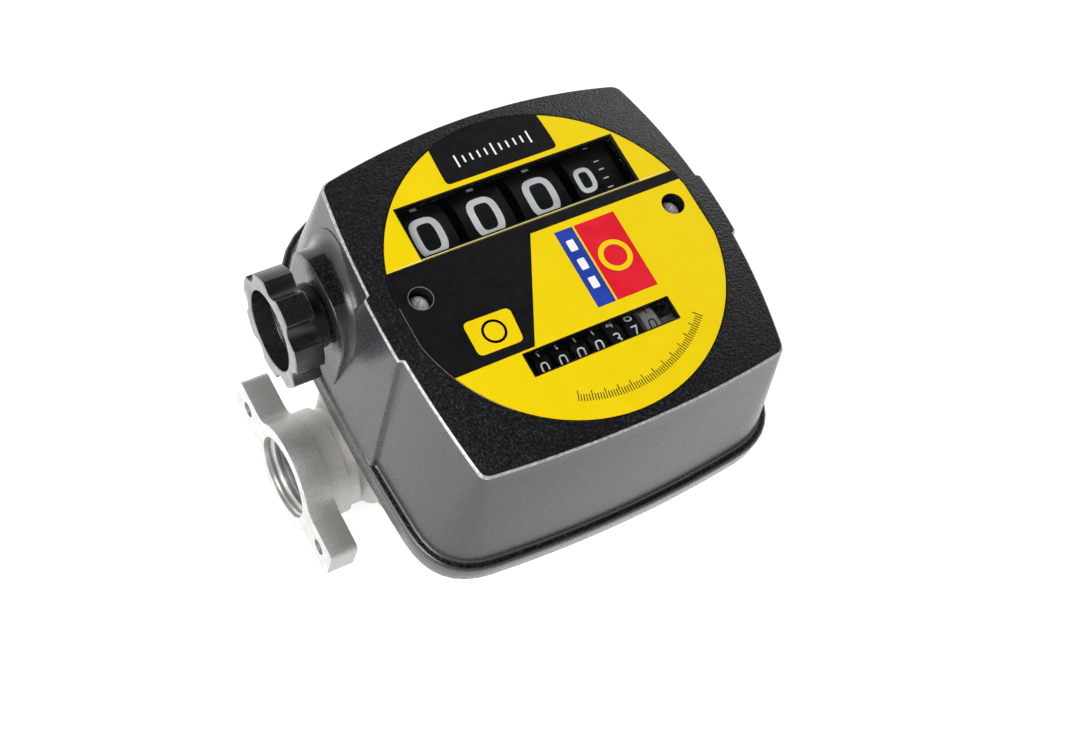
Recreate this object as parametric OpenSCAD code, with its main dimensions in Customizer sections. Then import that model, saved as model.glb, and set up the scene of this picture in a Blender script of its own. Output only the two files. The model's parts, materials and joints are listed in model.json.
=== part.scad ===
// Mechanical flow meter: a nutating disc in an aluminium body drives a resettable
// four-wheel register and a seven-wheel totaliser through a train of gears.
// Millimetres. The meter lies on its back face: +Z points out of the dial, +Y to the
// top of the dial, and the flow runs along X from the inlet (-X) to the outlet (+X).

/* [Case] */
// Height of the dial plane above the back face
dial_z = 132; // [131:0.5:136]
// Height of the plane where the front cover meets the body
joint_z = 68; // [67:0.5:69]
// Wall of the front cover
cover_t = 3; // [2.4:0.2:3.4]
// Web of the front cover behind the dial
front_t = 2.2; // [2:0.1:2.6]
// Half width of the cover's rim beside the side bands
rim_hx = 78.4; // [77:0.2:82]
// How far the rim is set towards the knob's side
rim_shift = 1.8; // [0:0.2:2.4]
// Half height of the cover's rim
rim_hy = 80.4; // [78:0.2:84]
// Height of the rim along Z
rim_h = 10; // [8:0.5:12]
// How far the rim stands proud of the side walls
rim_step = 3.2; // [2.4:0.2:4]
// Half width of the face between the side edges
face_hx = 68.7; // [67.5:0.1:71]
// Half height of the face between the top and bottom edges
face_hy = 66.6; // [65.5:0.1:69]
// Radius of the domed face
dome_r = 350; // [300:10:500]
// Radius of the edge round the face
edge_r = 1; // [0.6:0.1:1.6]
// Corner radius of the rim at the top
corner_top_r = 37; // [30:1:42]
// Corner radius of the rim at the bottom
corner_bottom_r = 21; // [15:1:24]
// How far the raised side bands stand proud
band_rise = 1.7; // [1:0.1:2.2]
// Half height of a side band at the face
band_face = 12.4; // [9:0.2:14]
// Half height of a side band at the rim
band_rim = 25; // [20:1:30]

/* [Dial] */
// Radius of the dial plate
dial_r = 62; // [61:0.2:63]
// Distance from the centre to the flats of the dial plate
dial_flat = 61.1; // [60.4:0.1:62]
// Thickness of the dial plate
dial_t = 0.8; // [0.6:0.1:1]
// Width of the register window
window_w = 89; // [86:0.5:90]
// Height of the register window
window_h = 20.2; // [18:0.2:22]
// Height of the register window's centre above the dial centre
window_y = 29.3; // [28.8:0.1:30]
// Width of the totaliser window
total_w = 59; // [56:0.5:60]
// Height of the totaliser window
total_h = 8.5; // [7.5:0.1:9.5]
// Distance of the totaliser window's centre below the dial centre
total_y = 32; // [31.5:0.1:32.5]
// Thickness of the window panes
pane_t = 1.1; // [0.9:0.1:1.1]
// Distance from the centre to each cover screw
cover_screw_x = 52.3; // [52:0.1:53]
// Height of the cover screws above the dial centre
cover_screw_y = 5.1; // [4:0.1:6]
// Radius of the deep hole that a cover screw's head sits in
screw_well_r = 4.4; // [4.2:0.1:4.8]

/* [Reset knob] */
// Outer radius of the knob
knob_r = 21.2; // [19:0.2:22]
// Length of the knob's grip
knob_len = 11; // [10:0.5:13]
// How far the knob's front face stands outside the cover's rim
knob_reach = 17; // [15:0.5:18]
// Number of grooves round the knob
knob_grooves = 7; // [6:1:10]
// Radius of one groove
groove_r = 5.2; // [4:0.2:6]
// Depth of one groove
groove_deep = 2.9; // [2:0.1:3.5]
// Radius of the cup in the knob's front
cup_r = 15; // [13:0.2:15.4]
// Depth of that cup
cup_deep = 7.5; // [6:0.5:8.5]
// Half width of the arched boss that carries the knob, towards the bottom of the dial
boss_low = 18.6; // [17:0.2:20]
// Half width of that boss towards the top of the dial
boss_high = 22.8; // [21:0.2:24]
// Depth of the boss's top below the dial plane
boss_drop = 10; // [9:0.5:11]
// How far the boss's face lies inside the cover's rim
boss_inset = 2; // [1.4:0.1:2.6]
// Radius of the knob shaft
knob_shaft_r = 3; // [2.6:0.1:3.4]

/* [Ports] */
// Distance between the two port faces
port_span = 192; // [190:1:204]
// Height of the port axis above the back face
port_z = 29.5; // [28.5:0.5:31]
// Radius of the threaded hole, to the root of its 1 inch pipe thread
port_r = 16.6; // [15:0.1:17]
// Length of the threaded hole
port_thread_len = 18; // [14:1:20]
// Radius of the passage behind the thread
passage_r = 13; // [12:0.2:13.6]
// Thickness of the port flange
port_flange_t = 11; // [9:0.5:12]
// Radius of the round middle of the port flange
port_flange_r = 22; // [20.5:0.25:22.5]
// Overall length of the port flange
lug_len = 80; // [76:1:84]
// Width of the port flange's two ears
lug_w = 18; // [15:0.5:20]
// Distance between the two flange bolt holes
bolt_span = 62; // [60:1:64]
// Radius of a flange bolt hole
bolt_r = 3.25; // [2.7:0.05:4.2]
// Radius of the collar behind the port flange
collar_r = 21.4; // [20:0.2:22]
// Length of that collar
collar_len = 7.5; // [5:0.5:8]
// Radius of the neck between collar and body
neck_r = 19.8; // [18:0.1:20]

/* [Meter body] */
// Outer radius of the body's drum
body_r = 60.5; // [60:0.1:61.5]
// Radius of the chamber cavity
cavity_r = 49; // [48.7:0.1:49.6]
// Thickness of the roof over the chamber cavity
roof_t = 7.5; // [7:0.1:8]
// Depth of the gear tray below the body's top face
tray_deep = 5.2; // [4.8:0.1:5.6]
// Thickness of the body's square top flange
top_flange_t = 4; // [3:0.25:5]
// Thickness of the floor under the gear tray
tray_floor_t = 3; // [2.5:0.25:4]
// How far the top flange is set in from the cover's rim
top_inset = 3; // [2:0.5:5]
// Wall round the gear tray
tray_wall = 7; // [6:0.5:9]
// Distance of the port boss's face from the middle
port_boss_x = 73; // [71.5:0.5:75]
// Half width of a port boss
port_boss_half = 24; // [20:1:28]
// Thickness of the cover's gasket
gasket_t = 0.8; // [0.5:0.1:1]
// Thickness of the back cover
back_t = 8; // [7.6:0.1:8.4]
// Number of back cover screws
back_screws = 8; // [6:1:10]

/* [Measuring chamber] */
// Radius of the nutating disc
disc_r = 38; // [37:0.1:38.4]
// Thickness of the nutating disc
disc_t = 2.4; // [2:0.1:2.8]
// Radius of the ball in the middle of the disc
ball_r = 9; // [8.5:0.1:9.5]
// Tilt of the disc in degrees
tilt = 14; // [13:0.25:14.5]
// Outer radius of the chamber
chamber_r = 43.5; // [43.2:0.1:44]
// Half height of the chamber
chamber_half = 15; // [14.6:0.1:15.4]
// Radius of the spindle pressed into the ball
spindle_r = 2; // [1.8:0.1:2.2]
// Radius of the hole where the flow leaves the chamber
chamber_port_r = 8.5; // [7.5:0.1:9]
// Thickness of the partition plate
partition_t = 1.6; // [1.2:0.1:1.8]
// Radius of the drive shaft
drive_r = 3; // [2.8:0.1:3.2]

/* [Counters] */
// Radius of the register's number wheels
wheel_r = 30; // [29.6:0.1:30.2]
// Distance from one register wheel to the next
wheel_pitch = 23.1; // [22.6:0.1:23.3]
// Width of a register wheel's rim
wheel_w = 19.3; // [18.6:0.1:19.5]
// Distance of the rightmost register wheel from the middle
wheel_x = 32.7; // [32.3:0.1:33]
// Gap between the front web and the wheels
wheel_gap = 0.6; // [0.5:0.1:1]
// Radius of the totaliser's number wheels
total_r = 10.5; // [10.2:0.1:10.8]
// Distance from one totaliser wheel to the next
total_pitch = 7.43; // [7.3:0.01:7.6]
// Width of a totaliser wheel's rim
total_wheel_w = 5.7; // [5.4:0.1:5.9]
// Distance of the rightmost totaliser wheel from the middle
total_x = 21.2; // [20.8:0.1:21.8]
// Radius of the register shaft
register_shaft_r = 2.5; // [2.2:0.1:2.8]
// Radius of the totaliser shaft
total_shaft_r = 1.5; // [1.3:0.1:1.6]

/* [Gear train] */
// Module of the drive gears
drive_mod = 1; // [0.98:0.01:1.01]
// Module of the register's drive gears
final_mod = 1.2; // [1.19:0.005:1.21]
// Module of the totaliser's drive gears
total_mod = 1; // [0.99:0.005:1.01]
// Thickness of the drive gears
gear_t = 2.2; // [2:0.05:2.3]
// Radius of the cross shaft
cross_r = 2; // [1.8:0.1:2.2]
// Distance of each frame plate's inner face from the middle
frame_x = 46.6; // [46.4:0.1:46.8]
// Thickness of a frame plate
frame_t = 1.2; // [1:0.1:1.3]

/* [Hidden] */
$fn = 72;

// Overrun of a cut past the face that it opens
over = 1;
// Radial clearance of a running fit
run_gap = 0.05;
// Clearance between pieces that sit together without moving
seat_gap = 0.1;
// Clearance between a moving piece and what it passes
free_gap = 0.35;

// Levels of the body along Z
top_z = joint_z - gasket_t;
tray_z = top_z - tray_deep;
roof_z = tray_z - roof_t;
flange_x = port_span / 2;
collar_x = flange_x - port_flange_t - collar_len;
passage_x = flange_x - port_thread_len;

// Levels of the front cover along Z
seat_z = dial_z - dial_t;
inner_z = seat_z - front_t;
dial_gap = 0.2;
dome_base = sqrt(dome_r * dome_r - dial_r * dial_r);

// Bulge of the cover's four sides, from mid side to corner
rim_bulge_x = 3.6;
rim_bulge_y = 5.3;
face_bulge_x = 6.1;
face_bulge_y = 5.2;
face_corner_r = 3;
band_slope = 1.3;
rim_edge = 1;
rim_top_z = joint_z + rim_h;
// Two points of the bend round the face's edge, as shares of its radius across and down
edge_shares = [[0.1, 0.56], [0.4, 0.2]];
// Depth of the space at the face's edge, in walls
space_drop_share = 1.8;

// Points on one ring of the cover
corner_shares = [0.25, 0.5, 0.75];
long_shares = [1, 0.5, 0, -0.5, -1];

// Gear teeth: heights in modules, half widths as shares of the tooth pitch
addendum = 0.8;
dedendum = 1.0;
root_share = 0.28;
tip_share = 0.12;

// Tooth counts of the drive train
n_drive = 12;
n_inter = 42;
n_bevel_a = 12;
n_bevel_b = 24;
n_cross = 16;
n_final = 40;
n_idle = 12;
n_total_a = 20;
n_total_b = 10;
n_total = 20;
n_ring = 20;
n_transfer = 8;
n_reset = 12;
reset_mod = 0.75;

// Places of the counters' axes in the Y and Z directions
wheel_y = window_y;
wheel_z = inner_z - wheel_gap - wheel_r;
total_z = inner_z - wheel_gap - total_r;
cross_y = -14;
cross_z = 87;
reset_c = reset_mod * n_reset;
reset_side_share = 0.511;
knob_y = wheel_y - reset_c * reset_side_share;
knob_z = wheel_z + sqrt(reset_c * reset_c - pow(wheel_y - knob_y, 2));

// Direction and distance of the transfer pinions from the wheels' axes
transfer_angle = 162;
transfer_gap = 0.5;
transfer_shaft_r = 1.5;
transfer_c = wheel_r + transfer_shaft_r + transfer_gap;
transfer_mod = 2 * transfer_c / (n_ring + n_transfer);
transfer_y = wheel_y + transfer_c * cos(transfer_angle);
transfer_z = wheel_z + transfer_c * sin(transfer_angle);
total_transfer_angle = 225;
total_transfer_shaft_r = 0.8;
total_transfer_c = total_r + total_transfer_shaft_r + transfer_gap;
total_transfer_mod = 2 * total_transfer_c / (n_ring + n_transfer);
total_transfer_y = -total_y + total_transfer_c * cos(total_transfer_angle);
total_transfer_z = total_z + total_transfer_c * sin(total_transfer_angle);

// Angle at the first corner of a triangle whose sides from it are a and b, opposite side c
function corner(a, b, c) = acos((a * a + b * b - c * c) / (2 * a * b));

// Place of the idler that turns the register, below the line from the cross shaft to it
idle_c = final_mod * (n_cross + n_idle) / 2;
final_c = final_mod * (n_idle + n_final) / 2;
final_dir = atan2(wheel_z - cross_z, wheel_y - cross_y);
final_span = norm([wheel_y - cross_y, wheel_z - cross_z]);
idle_angle = final_dir - corner(idle_c, final_span, final_c);
idle_y = cross_y + idle_c * cos(idle_angle);
idle_z = cross_z + idle_c * sin(idle_angle);

// Place of the compound idler that turns the totaliser
total_a_c = final_mod * (n_cross + n_total_a) / 2;
total_b_c = total_mod * (n_total_b + n_total) / 2;
total_dir = atan2(total_z - cross_z, -total_y - cross_y);
total_span = norm([-total_y - cross_y, total_z - cross_z]);
total_angle = total_dir - corner(total_a_c, total_span, total_b_c);
total_idle_y = cross_y + total_a_c * cos(total_angle);
total_idle_z = cross_z + total_a_c * sin(total_angle);

// Places of the studs of the intermediate and the output gear on the tray floor
stage_c = drive_mod * (n_drive + n_inter) / 2;
stage_angle = 225;
stage_x = stage_c * cos(stage_angle);
stage_y = stage_c * sin(stage_angle);
output_angle = asin((cross_y - stage_y) / stage_c);
output_x = stage_x + stage_c * cos(output_angle);
stud_r = 2;
idler_stud_r = 1.5;
output_hub_r = 4.2;

// Levels of the drive gears above the tray floor
drive_lift = 1.2;
stage_gap = 1;
final_gap = 0.6;
inter_z = tray_z + drive_lift;
output_z = inter_z + gear_t + stage_gap;
bevel_t = 4;
bevel_a_z = cross_z - drive_mod * n_bevel_b / 2;
bevel_b_x = output_x + drive_mod * n_bevel_a / 2;
bevel_blank_r = drive_mod * (n_bevel_b / 2 + addendum);
bevel_hub_r = 5;
bevel_hub_t = 4;

// Planes of the gears beside the right-hand register wheel
wheel_edge_x = wheel_x + wheel_w / 2;
final_x = wheel_edge_x + final_gap;
total_gear_x = final_x - gear_t - final_gap;

// Wheel construction
wheel_rim_t = 2;
wheel_web_t = 2;
wheel_hub_r = 5;
wheel_space = wheel_pitch - wheel_w;
total_space = total_pitch - total_wheel_w;
total_hub_r = 2.8;
ring_space_share = 0.44;
lug_space_share = 0.34;
pinion_space_share = 0.8;
lug_teeth = 2;
lug_core_share = 0.72;
lug_start_share = 0.6;
lug_half_share = 0.4;
total_wheels = 7;

// Chamber details
partition_angle = -22;
inlet_angle = -44;
crank_angle = 158;
disc_gap = 0.25;
socket_gap = 0.15;
lid_gap = 0.6;
slot_share = 0.85;
wall_margin = 3;
wall_r = disc_r + disc_gap;
disc_half_gap = disc_t / 2 + disc_gap;
cone_angle = tilt + asin(disc_half_gap / wall_r);
cone_h = disc_half_gap / cos(tilt);
slot_half = partition_t / 2 + disc_r * (1 - cos(tilt)) / 2 + disc_t * tan(tilt) / 2 + disc_gap;
spindle_top = 22.8;
spindle_bottom = 5;
lid_hole_r = chamber_half * tan(tilt) + spindle_r + lid_gap;
crank_r = 9.5;
crank_t = 4.6;
crank_gap = 3;
crank_z = port_z + chamber_half + crank_gap;
drive_end_r = 2.1;
pad_x = 45.8;
pad_half = 13;
port_seal_t = 1;
port_seal_w = 4.5;
body_pad_r = 17;
lid_ring_r = 40;
lid_ring_t = 4;
base_ring_r = 33;
base_ring_t = 6;

// Bush and seal of the drive shaft
bush_r = 6;
bush_t = 4.4;
seal_t = 2.4;

// Back cover and its screws
back_r = 60;
back_screw_r = 2.5;
back_screw_pcr = 55.2;
back_screw_len = 18;
back_head_r = 4.4;
back_head_t = 4;
back_well = 4.6;
seal_r = 50.9;
seal_groove_w = 1.9;
seal_groove_deep = 1.4;

// Cover screws and their posts
cover_screw_r = 2;
cover_head_r = 3.8;
cover_head_t = 2.6;
well_deep = 6.5;
well_wall = 1.5;
post_r = 4;
cover_screw_bite = 5.4;

// Strainer in the inlet passage
strainer_t = 0.9;
strainer_len = 15;
strainer_rim_t = 1.2;
strainer_rim_r = 14.6;
strainer_hole_r = 1.2;
strainer_rows = 3;
strainer_row_pitch = 3.4;
strainer_row_holes = 6;

// Calibration screw in a side boss of the body
cal_x = 34;
cal_face_y = 60;
cal_boss_r = 9;
cal_plug_r = 6.5;
cal_plug_t = 7;
cal_screw_r = 4.8;
cal_screw_t = 10;
cal_tip_r = 2;
cal_tip_t = 4;
cal_slot_w = 1.2;
cal_slot_deep = 1.6;
cal_socket_r = 3.5;
cal_socket_deep = 4;

// Frame plates, tie bars and frame screws, as places in Y and Z
tie_r = 2;
tie_low_y = -38;
tie_low_lift = 10;
tie_high_y = 44;
tie_high_lift = 7;
tie_mid_y = -42;
tie_mid_lift = 36;
tie_places = [[tie_low_y, tray_z + tie_low_lift], [tie_high_y, tray_z + tie_high_lift],
    [tie_mid_y, tray_z + tie_mid_lift]];
foot_len = 8;
foot_w = 9;
foot_low_y = -40;
foot_high_y = 33;
frame_screw_r = 1.5;
frame_screw_len = 4.5;
frame_head_r = 2.6;
frame_head_t = 1.8;
frame_margin = 5;

// Reset knob, its hub and the shaft's inner end
knob_x = rim_hx + rim_shift + knob_reach;
knob_back_x = knob_x - knob_len;
knob_hub_r = 12;
knob_core_r = 6;
knob_core_deep = 4.8;
knob_bush_r = 5.4;
knob_bush_head_r = 9;
knob_bush_head_t = 0.8;
knob_bush_len = 10;
shaft_end_inset = 1.2;
knob_pivot_r = 2;
reset_gear_gap = 1.6;
reset_gear_x = frame_x + frame_t + reset_gear_gap;
reset_gear_t = 3;

// Arched boss of the knob: corner radii, edge radius, fillet at its root and depth of its bore
boss_face_x = rim_hx + rim_shift - boss_inset;
boss_top_z = dial_z - boss_drop;
boss_low_r = 18;
boss_high_r = 13.5;
boss_edge_r = 0.8;
boss_edge_shares = [[0, 0.6], [0.3, 0.3], [1, 0]];
boss_fillet_r = 5;
boss_root = 2;
boss_sink = 0.4;
boss_deep = 14;
boss_angles = [0:15:90];
fillet_angles = [0:22.5:90];

// Corner radii of the port boss and of the flange's ears, and fillet between ear and round middle
port_boss_round = 6;
lug_round = 3;
lug_fillet = 7;

// Window panes, heads of screws and the cuts in them
pane_lip = 1.5;
socket_r_share = 0.5;
socket_deep_share = 0.6;
cross_turn = 20;
cross_len_share = 1.3;
cross_w_share = 0.28;
cross_deep_share = 0.6;

// Linear blend between two values or two points
function mix(a, b, t) = a + (b - a) * t;

// Point on a quadratic curve from a to c that leaves towards b
function curve(a, b, c, t) = mix(mix(a, b, t), mix(b, c, t), t);

// Points along the right side of a ring, where the band stands proud
function side_points(hx, cy, bulge, vb, vt, b, e, rise) = let(
    v = [-vb, -(vb + b + e) / 2, -b - e, -b, 0, b, b + e, (vt + b + e) / 2, vt])
    [for (i = [0:len(v) - 1])
        [hx - bulge * v[i] * v[i] + (abs(v[i]) <= b ? rise : 0), cy * v[i]]];

// Half of a ring: right side, top right corner, top edge to the middle, and so on
function outline(hx, hy, bx, by, rt, rb, band, rise) = let(
    cx = hx - bx,
    cy = hy - by,
    side = side_points(hx, cy, bx, 1 - rb / cy, 1 - rt / cy, band / cy, band_slope / cy, rise),
    left = [for (i = [len(side) - 1:-1:0]) [-side[i][0], side[i][1]]],
    top = [for (s = long_shares) let(u = s * (1 - rt / cx)) [cx * u, hy - by * u * u]],
    bottom = [for (s = long_shares) let(u = -s * (1 - rb / cx)) [cx * u, -hy + by * u * u]],
    end = len(side) - 1)
    concat(side,
        [for (t = corner_shares) curve(side[end], [cx, cy], top[0], t)],
        top,
        [for (t = corner_shares) curve(top[4], [-cx, cy], left[0], t)],
        left,
        [for (t = corner_shares) curve(left[end], [-cx, -cy], bottom[0], t)],
        bottom,
        [for (t = corner_shares) curve(bottom[4], [cx, -cy], side[0], t)]);

// Height of the domed face above a point
function dome(p, drop) = let(r = norm([p[0], p[1]]))
    dial_z - drop - (r < dial_r ? 0 : dome_base - sqrt(dome_r * dome_r - r * r));

function rim_outline(inset, rise) = [for (p = outline(rim_hx - inset, rim_hy - inset, rim_bulge_x,
    rim_bulge_y, corner_top_r - inset, corner_bottom_r - inset, band_rim, rise))
    [p[0] - rim_shift, p[1]]];
function face_outline(inset, rise) = outline(face_hx - inset, face_hy - inset, face_bulge_x,
    face_bulge_y, face_corner_r, face_corner_r, band_face, rise);

// The circle of the dial's seat, with a point for each point of a ring
function seat_ring(ring, r, flat) = [for (p = ring) let(a = atan2(p[1], p[0]))
    [max(-flat, min(flat, r * cos(a))), r * sin(a)]];

// A flat ring at one height, and a ring laid on the dome
function at_z(ring, z) = [for (p = ring) [p[0], p[1], z]];
function on_dome(ring, drop) = [for (p = ring) [p[0], p[1], dome(p, drop)]];
function mix_rings(a, b, t) = [for (i = [0:len(a) - 1]) mix(a[i], b[i], t)];

// A closed solid through a stack of rings that have equally many points
module loft(rings) {
    n = len(rings[0]);
    last = len(rings) - 1;
    points = [for (ring = rings) for (p = ring) p];
    bottom = [for (i = [0:n - 1]) i];
    top = [for (i = [n - 1:-1:0]) last * n + i];
    walls = [for (k = [0:last - 1]) for (i = [0:n - 1]) let(j = (i + 1) % n, a = k * n)
        each [[a + i, a + n + i, a + n + j], [a + i, a + n + j, a + j]]];
    polyhedron(points, concat([bottom], walls, [top]));
}

// Outline drawn in Y and Z, and extruded along X from x0 to x1
module along_x(x0, x1, y = 0, z = 0) {
    translate([x0, y, z]) rotate([90, 0, 90]) linear_extrude(x1 - x0) children();
}

// Round bar along X
module rod_x(x0, x1, y, z, r) {
    translate([x0, y, z]) rotate([0, 90, 0]) cylinder(h = x1 - x0, r = r);
}

// Round bar along Z
module rod_z(x, y, z0, z1, r) {
    translate([x, y, z0]) cylinder(h = z1 - z0, r = r);
}

module both_sides() {
    children();
    mirror([1, 0, 0]) children();
}

module rounded_rect(w, h, r) {
    square([w - 2 * r, h], center = true);
    square([w, h - 2 * r], center = true);
    for (x = [-1, 1], y = [-1, 1]) translate([x * (w / 2 - r), y * (h / 2 - r)]) circle(r);
}

// Straight-flanked gear outline with its first tooth at the given angle
module gear_2d(n, m, phase = 0) {
    tooth_ring(n, m * (n / 2 - dedendum), m * (n / 2 + addendum), phase);
}

module tooth_ring(n, root, tip, phase) {
    pitch = 360 / n;
    polygon([for (i = [0:n - 1]) for (k = [-1, 1]) for (s = k < 0 ? [0, 1] : [1, 0])
        let(a = phase + pitch * (i + k * (s == 0 ? root_share : tip_share)))
        (s == 0 ? root : tip) * [cos(a), sin(a)]]);
}

// Tooth angle of a second gear in mesh with a first one that lies at angle b from it
function mesh_phase(n1, p1, n2, b) = b + 180 - (360 / n2) * (0.5 - (b - p1) * n1 / 360);

// Tooth angles of the whole train at rest
stage_phase = mesh_phase(n_drive, 0, n_inter, stage_angle);
output_phase = mesh_phase(n_drive, stage_phase, n_inter, output_angle);
idle_phase = mesh_phase(n_cross, 0, n_idle, idle_angle);
final_angle = atan2(wheel_z - idle_z, wheel_y - idle_y);
final_phase = mesh_phase(n_idle, idle_phase, n_final, final_angle);
total_idle_phase = mesh_phase(n_cross, 0, n_total_a, total_angle);
total_gear_angle = atan2(total_z - total_idle_z, -total_y - total_idle_y);
total_phase = mesh_phase(n_total_b, total_idle_phase, n_total, total_gear_angle);
reset_angle = atan2(wheel_z - knob_z, wheel_y - knob_y);
reset_phase = mesh_phase(n_reset, 0, n_reset, reset_angle);
transfer_phase = mesh_phase(n_ring, 0, n_transfer, transfer_angle);
total_transfer_phase = mesh_phase(n_ring, 0, n_transfer, total_transfer_angle);

// Socket screw that points along +Z with its head at the bottom
module socket_screw(r, len, head_r, head_t) {
    difference() {
        union() {
            cylinder(h = head_t, r = head_r);
            cylinder(h = head_t + len, r = r);
        }
        translate([0, 0, -over]) cylinder(h = over + head_t * socket_deep_share,
            r = head_r * socket_r_share, $fn = 6);
    }
}

// Cross-head screw that points along -Z, with the top of its head at the origin
module cross_screw(r, len, head_r, head_t) {
    difference() {
        union() {
            translate([0, 0, -head_t]) cylinder(h = head_t, r = head_r);
            translate([0, 0, -head_t - len]) cylinder(h = len + head_t / 2, r = r);
        }
        for (a = [0, 90]) rotate([0, 0, a + cross_turn])
            translate([0, 0, (over - head_t * cross_deep_share) / 2])
                cube([head_r * cross_len_share, head_r * cross_w_share,
                    over + head_t * cross_deep_share], center = true);
    }
}

// Two-eared outline of a port flange, with its long side along Y
module port_flange_2d() {
    fy = sqrt(pow(port_flange_r + lug_fillet, 2) - pow(lug_w / 2 + lug_fillet, 2));
    fz = lug_w / 2 + lug_fillet;
    circle(port_flange_r);
    rounded_rect(lug_len, lug_w, lug_round);
    for (a = [-1, 1], b = [-1, 1]) difference() {
        polygon([[0, 0], [a * fy, 0], [a * fy, b * fz]]);
        translate([a * fy, b * fz]) circle(lug_fillet);
    }
}

module port() {
    along_x(flange_x - port_flange_t, flange_x, 0, port_z) port_flange_2d();
    rod_x(collar_x, flange_x - over, 0, port_z, collar_r);
    rod_x(cavity_r, flange_x - over, 0, port_z, neck_r);
}

module port_cuts() {
    rod_x(passage_x, flange_x + over, 0, port_z, port_r);
    rod_x(cavity_r - over, passage_x + over, 0, port_z, passage_r);
    for (a = [-1, 1]) rod_x(flange_x - port_flange_t - over, flange_x + over,
        a * bolt_span / 2, port_z, bolt_r);
}

module body_shell() {
    difference() {
        union() {
            rod_z(0, 0, back_t, top_z, body_r);
            translate([0, 0, top_z - top_flange_t]) linear_extrude(top_flange_t)
                polygon(rim_outline(top_inset, 0));
            translate([0, 0, tray_z - tray_floor_t]) linear_extrude(tray_floor_t + tray_deep - over)
                polygon(rim_outline(top_inset + tray_wall / 2, 0));
            translate([0, 0, port_z]) linear_extrude(tray_z - port_z)
                rounded_rect(2 * port_boss_x, 2 * port_boss_half, port_boss_round);
            both_sides() port();
            translate([cal_x, 0, port_z]) rotate([90, 0, 0]) difference() {
                cylinder(h = cal_face_y, r = cal_boss_r);
                cylinder(h = cavity_r / 2, r = cal_boss_r + over);
            }
        }
        rod_z(0, 0, back_t - over, roof_z, cavity_r);
        translate([0, 0, tray_z]) linear_extrude(tray_deep + over)
            polygon(rim_outline(top_inset + tray_wall, 0));
    }
    difference() {
        rod_x(pad_x + port_seal_t + 2 * seat_gap, cavity_r + over, 0, port_z, body_pad_r);
        rod_x(pad_x, cavity_r + 2 * over, 0, port_z, chamber_port_r + over);
    }
}

module meter_body() color("silver") difference() {
    body_shell();
    both_sides() port_cuts();
    rod_x(-passage_x - over, -passage_x + strainer_rim_t + run_gap, 0, port_z,
        strainer_rim_r + run_gap);
    rod_z(0, 0, roof_z - over, tray_z + over, bush_r);
    for (p = [[stage_x, stage_y], [output_x, cross_y]])
        rod_z(p[0], p[1], tray_z - roof_t / 2, tray_z + over, stud_r + run_gap);
    both_sides() rod_z(cover_screw_x, cover_screw_y, tray_z - cover_screw_bite,
        tray_z + over, cover_screw_r + run_gap);
    both_sides() for (y = [foot_low_y, foot_high_y])
        rod_z(frame_x - foot_len / 2, y, tray_z - frame_screw_len, tray_z + over,
            frame_screw_r + run_gap);
    for (i = [0:back_screws - 1]) rotate([0, 0, (i + 0.5) * 360 / back_screws])
        rod_z(back_screw_pcr, 0, back_t - over, back_well + back_screw_len,
            back_screw_r + run_gap);
    translate([cal_x, 0, port_z]) rotate([90, 0, 0]) {
        cylinder(h = cal_face_y + over, r = cal_screw_r + run_gap);
        translate([0, 0, cal_face_y - cal_plug_t - seat_gap])
            cylinder(h = cal_plug_t + seat_gap + over, r = cal_plug_r + run_gap);
    }
}

module back_cover() color("silver") difference() {
    union() {
        rod_z(0, 0, 0, back_t, back_r);
        rod_z(0, 0, 0, port_z - chamber_half - seat_gap, base_ring_r);
    }
    rod_z(0, 0, back_t, port_z, base_ring_r - base_ring_t);
    difference() {
        rod_z(0, 0, back_t - seal_groove_deep, back_t + over, seal_r + seal_groove_w / 2);
        rod_z(0, 0, back_t - seal_groove_deep - over, back_t + 2 * over,
            seal_r - seal_groove_w / 2);
    }
    for (i = [0:back_screws - 1]) rotate([0, 0, (i + 0.5) * 360 / back_screws]) {
        rod_z(back_screw_pcr, 0, -over, back_t + over, back_screw_r + run_gap);
        rod_z(back_screw_pcr, 0, -over, back_well, back_head_r + 2 * seat_gap);
    }
}

module back_cover_screws() color("gray")
    for (i = [0:back_screws - 1]) rotate([0, 0, (i + 0.5) * 360 / back_screws])
        translate([back_screw_pcr, 0, back_well - back_head_t])
            socket_screw(back_screw_r, back_screw_len, back_head_r, back_head_t);

module back_cover_seal() color("black")
    translate([0, 0, back_t - seal_groove_deep / 2]) rotate_extrude()
        translate([seal_r, 0]) circle(seal_groove_deep / 2 - run_gap, $fn = 24);

module inlet_strainer() color("goldenrod") mirror([1, 0, 0]) difference() {
    union() {
        rod_x(passage_x - strainer_rim_t, passage_x - run_gap, 0, port_z, strainer_rim_r);
        rod_x(passage_x - strainer_len, passage_x - run_gap, 0, port_z, passage_r - run_gap);
    }
    rod_x(passage_x - strainer_len + strainer_t, passage_x + over, 0, port_z,
        passage_r - strainer_t);
    for (row = [1:strainer_rows], i = [0:row * strainer_row_holes - 1])
        translate([0, 0, port_z]) rotate([i * 360 / (row * strainer_row_holes), 0, 0])
            rod_x(passage_x - strainer_len - over, passage_x - strainer_len + strainer_t + over,
                row * strainer_row_pitch, 0, strainer_hole_r);
    rod_x(passage_x - strainer_len - over, passage_x, 0, port_z, strainer_hole_r);
}

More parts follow.
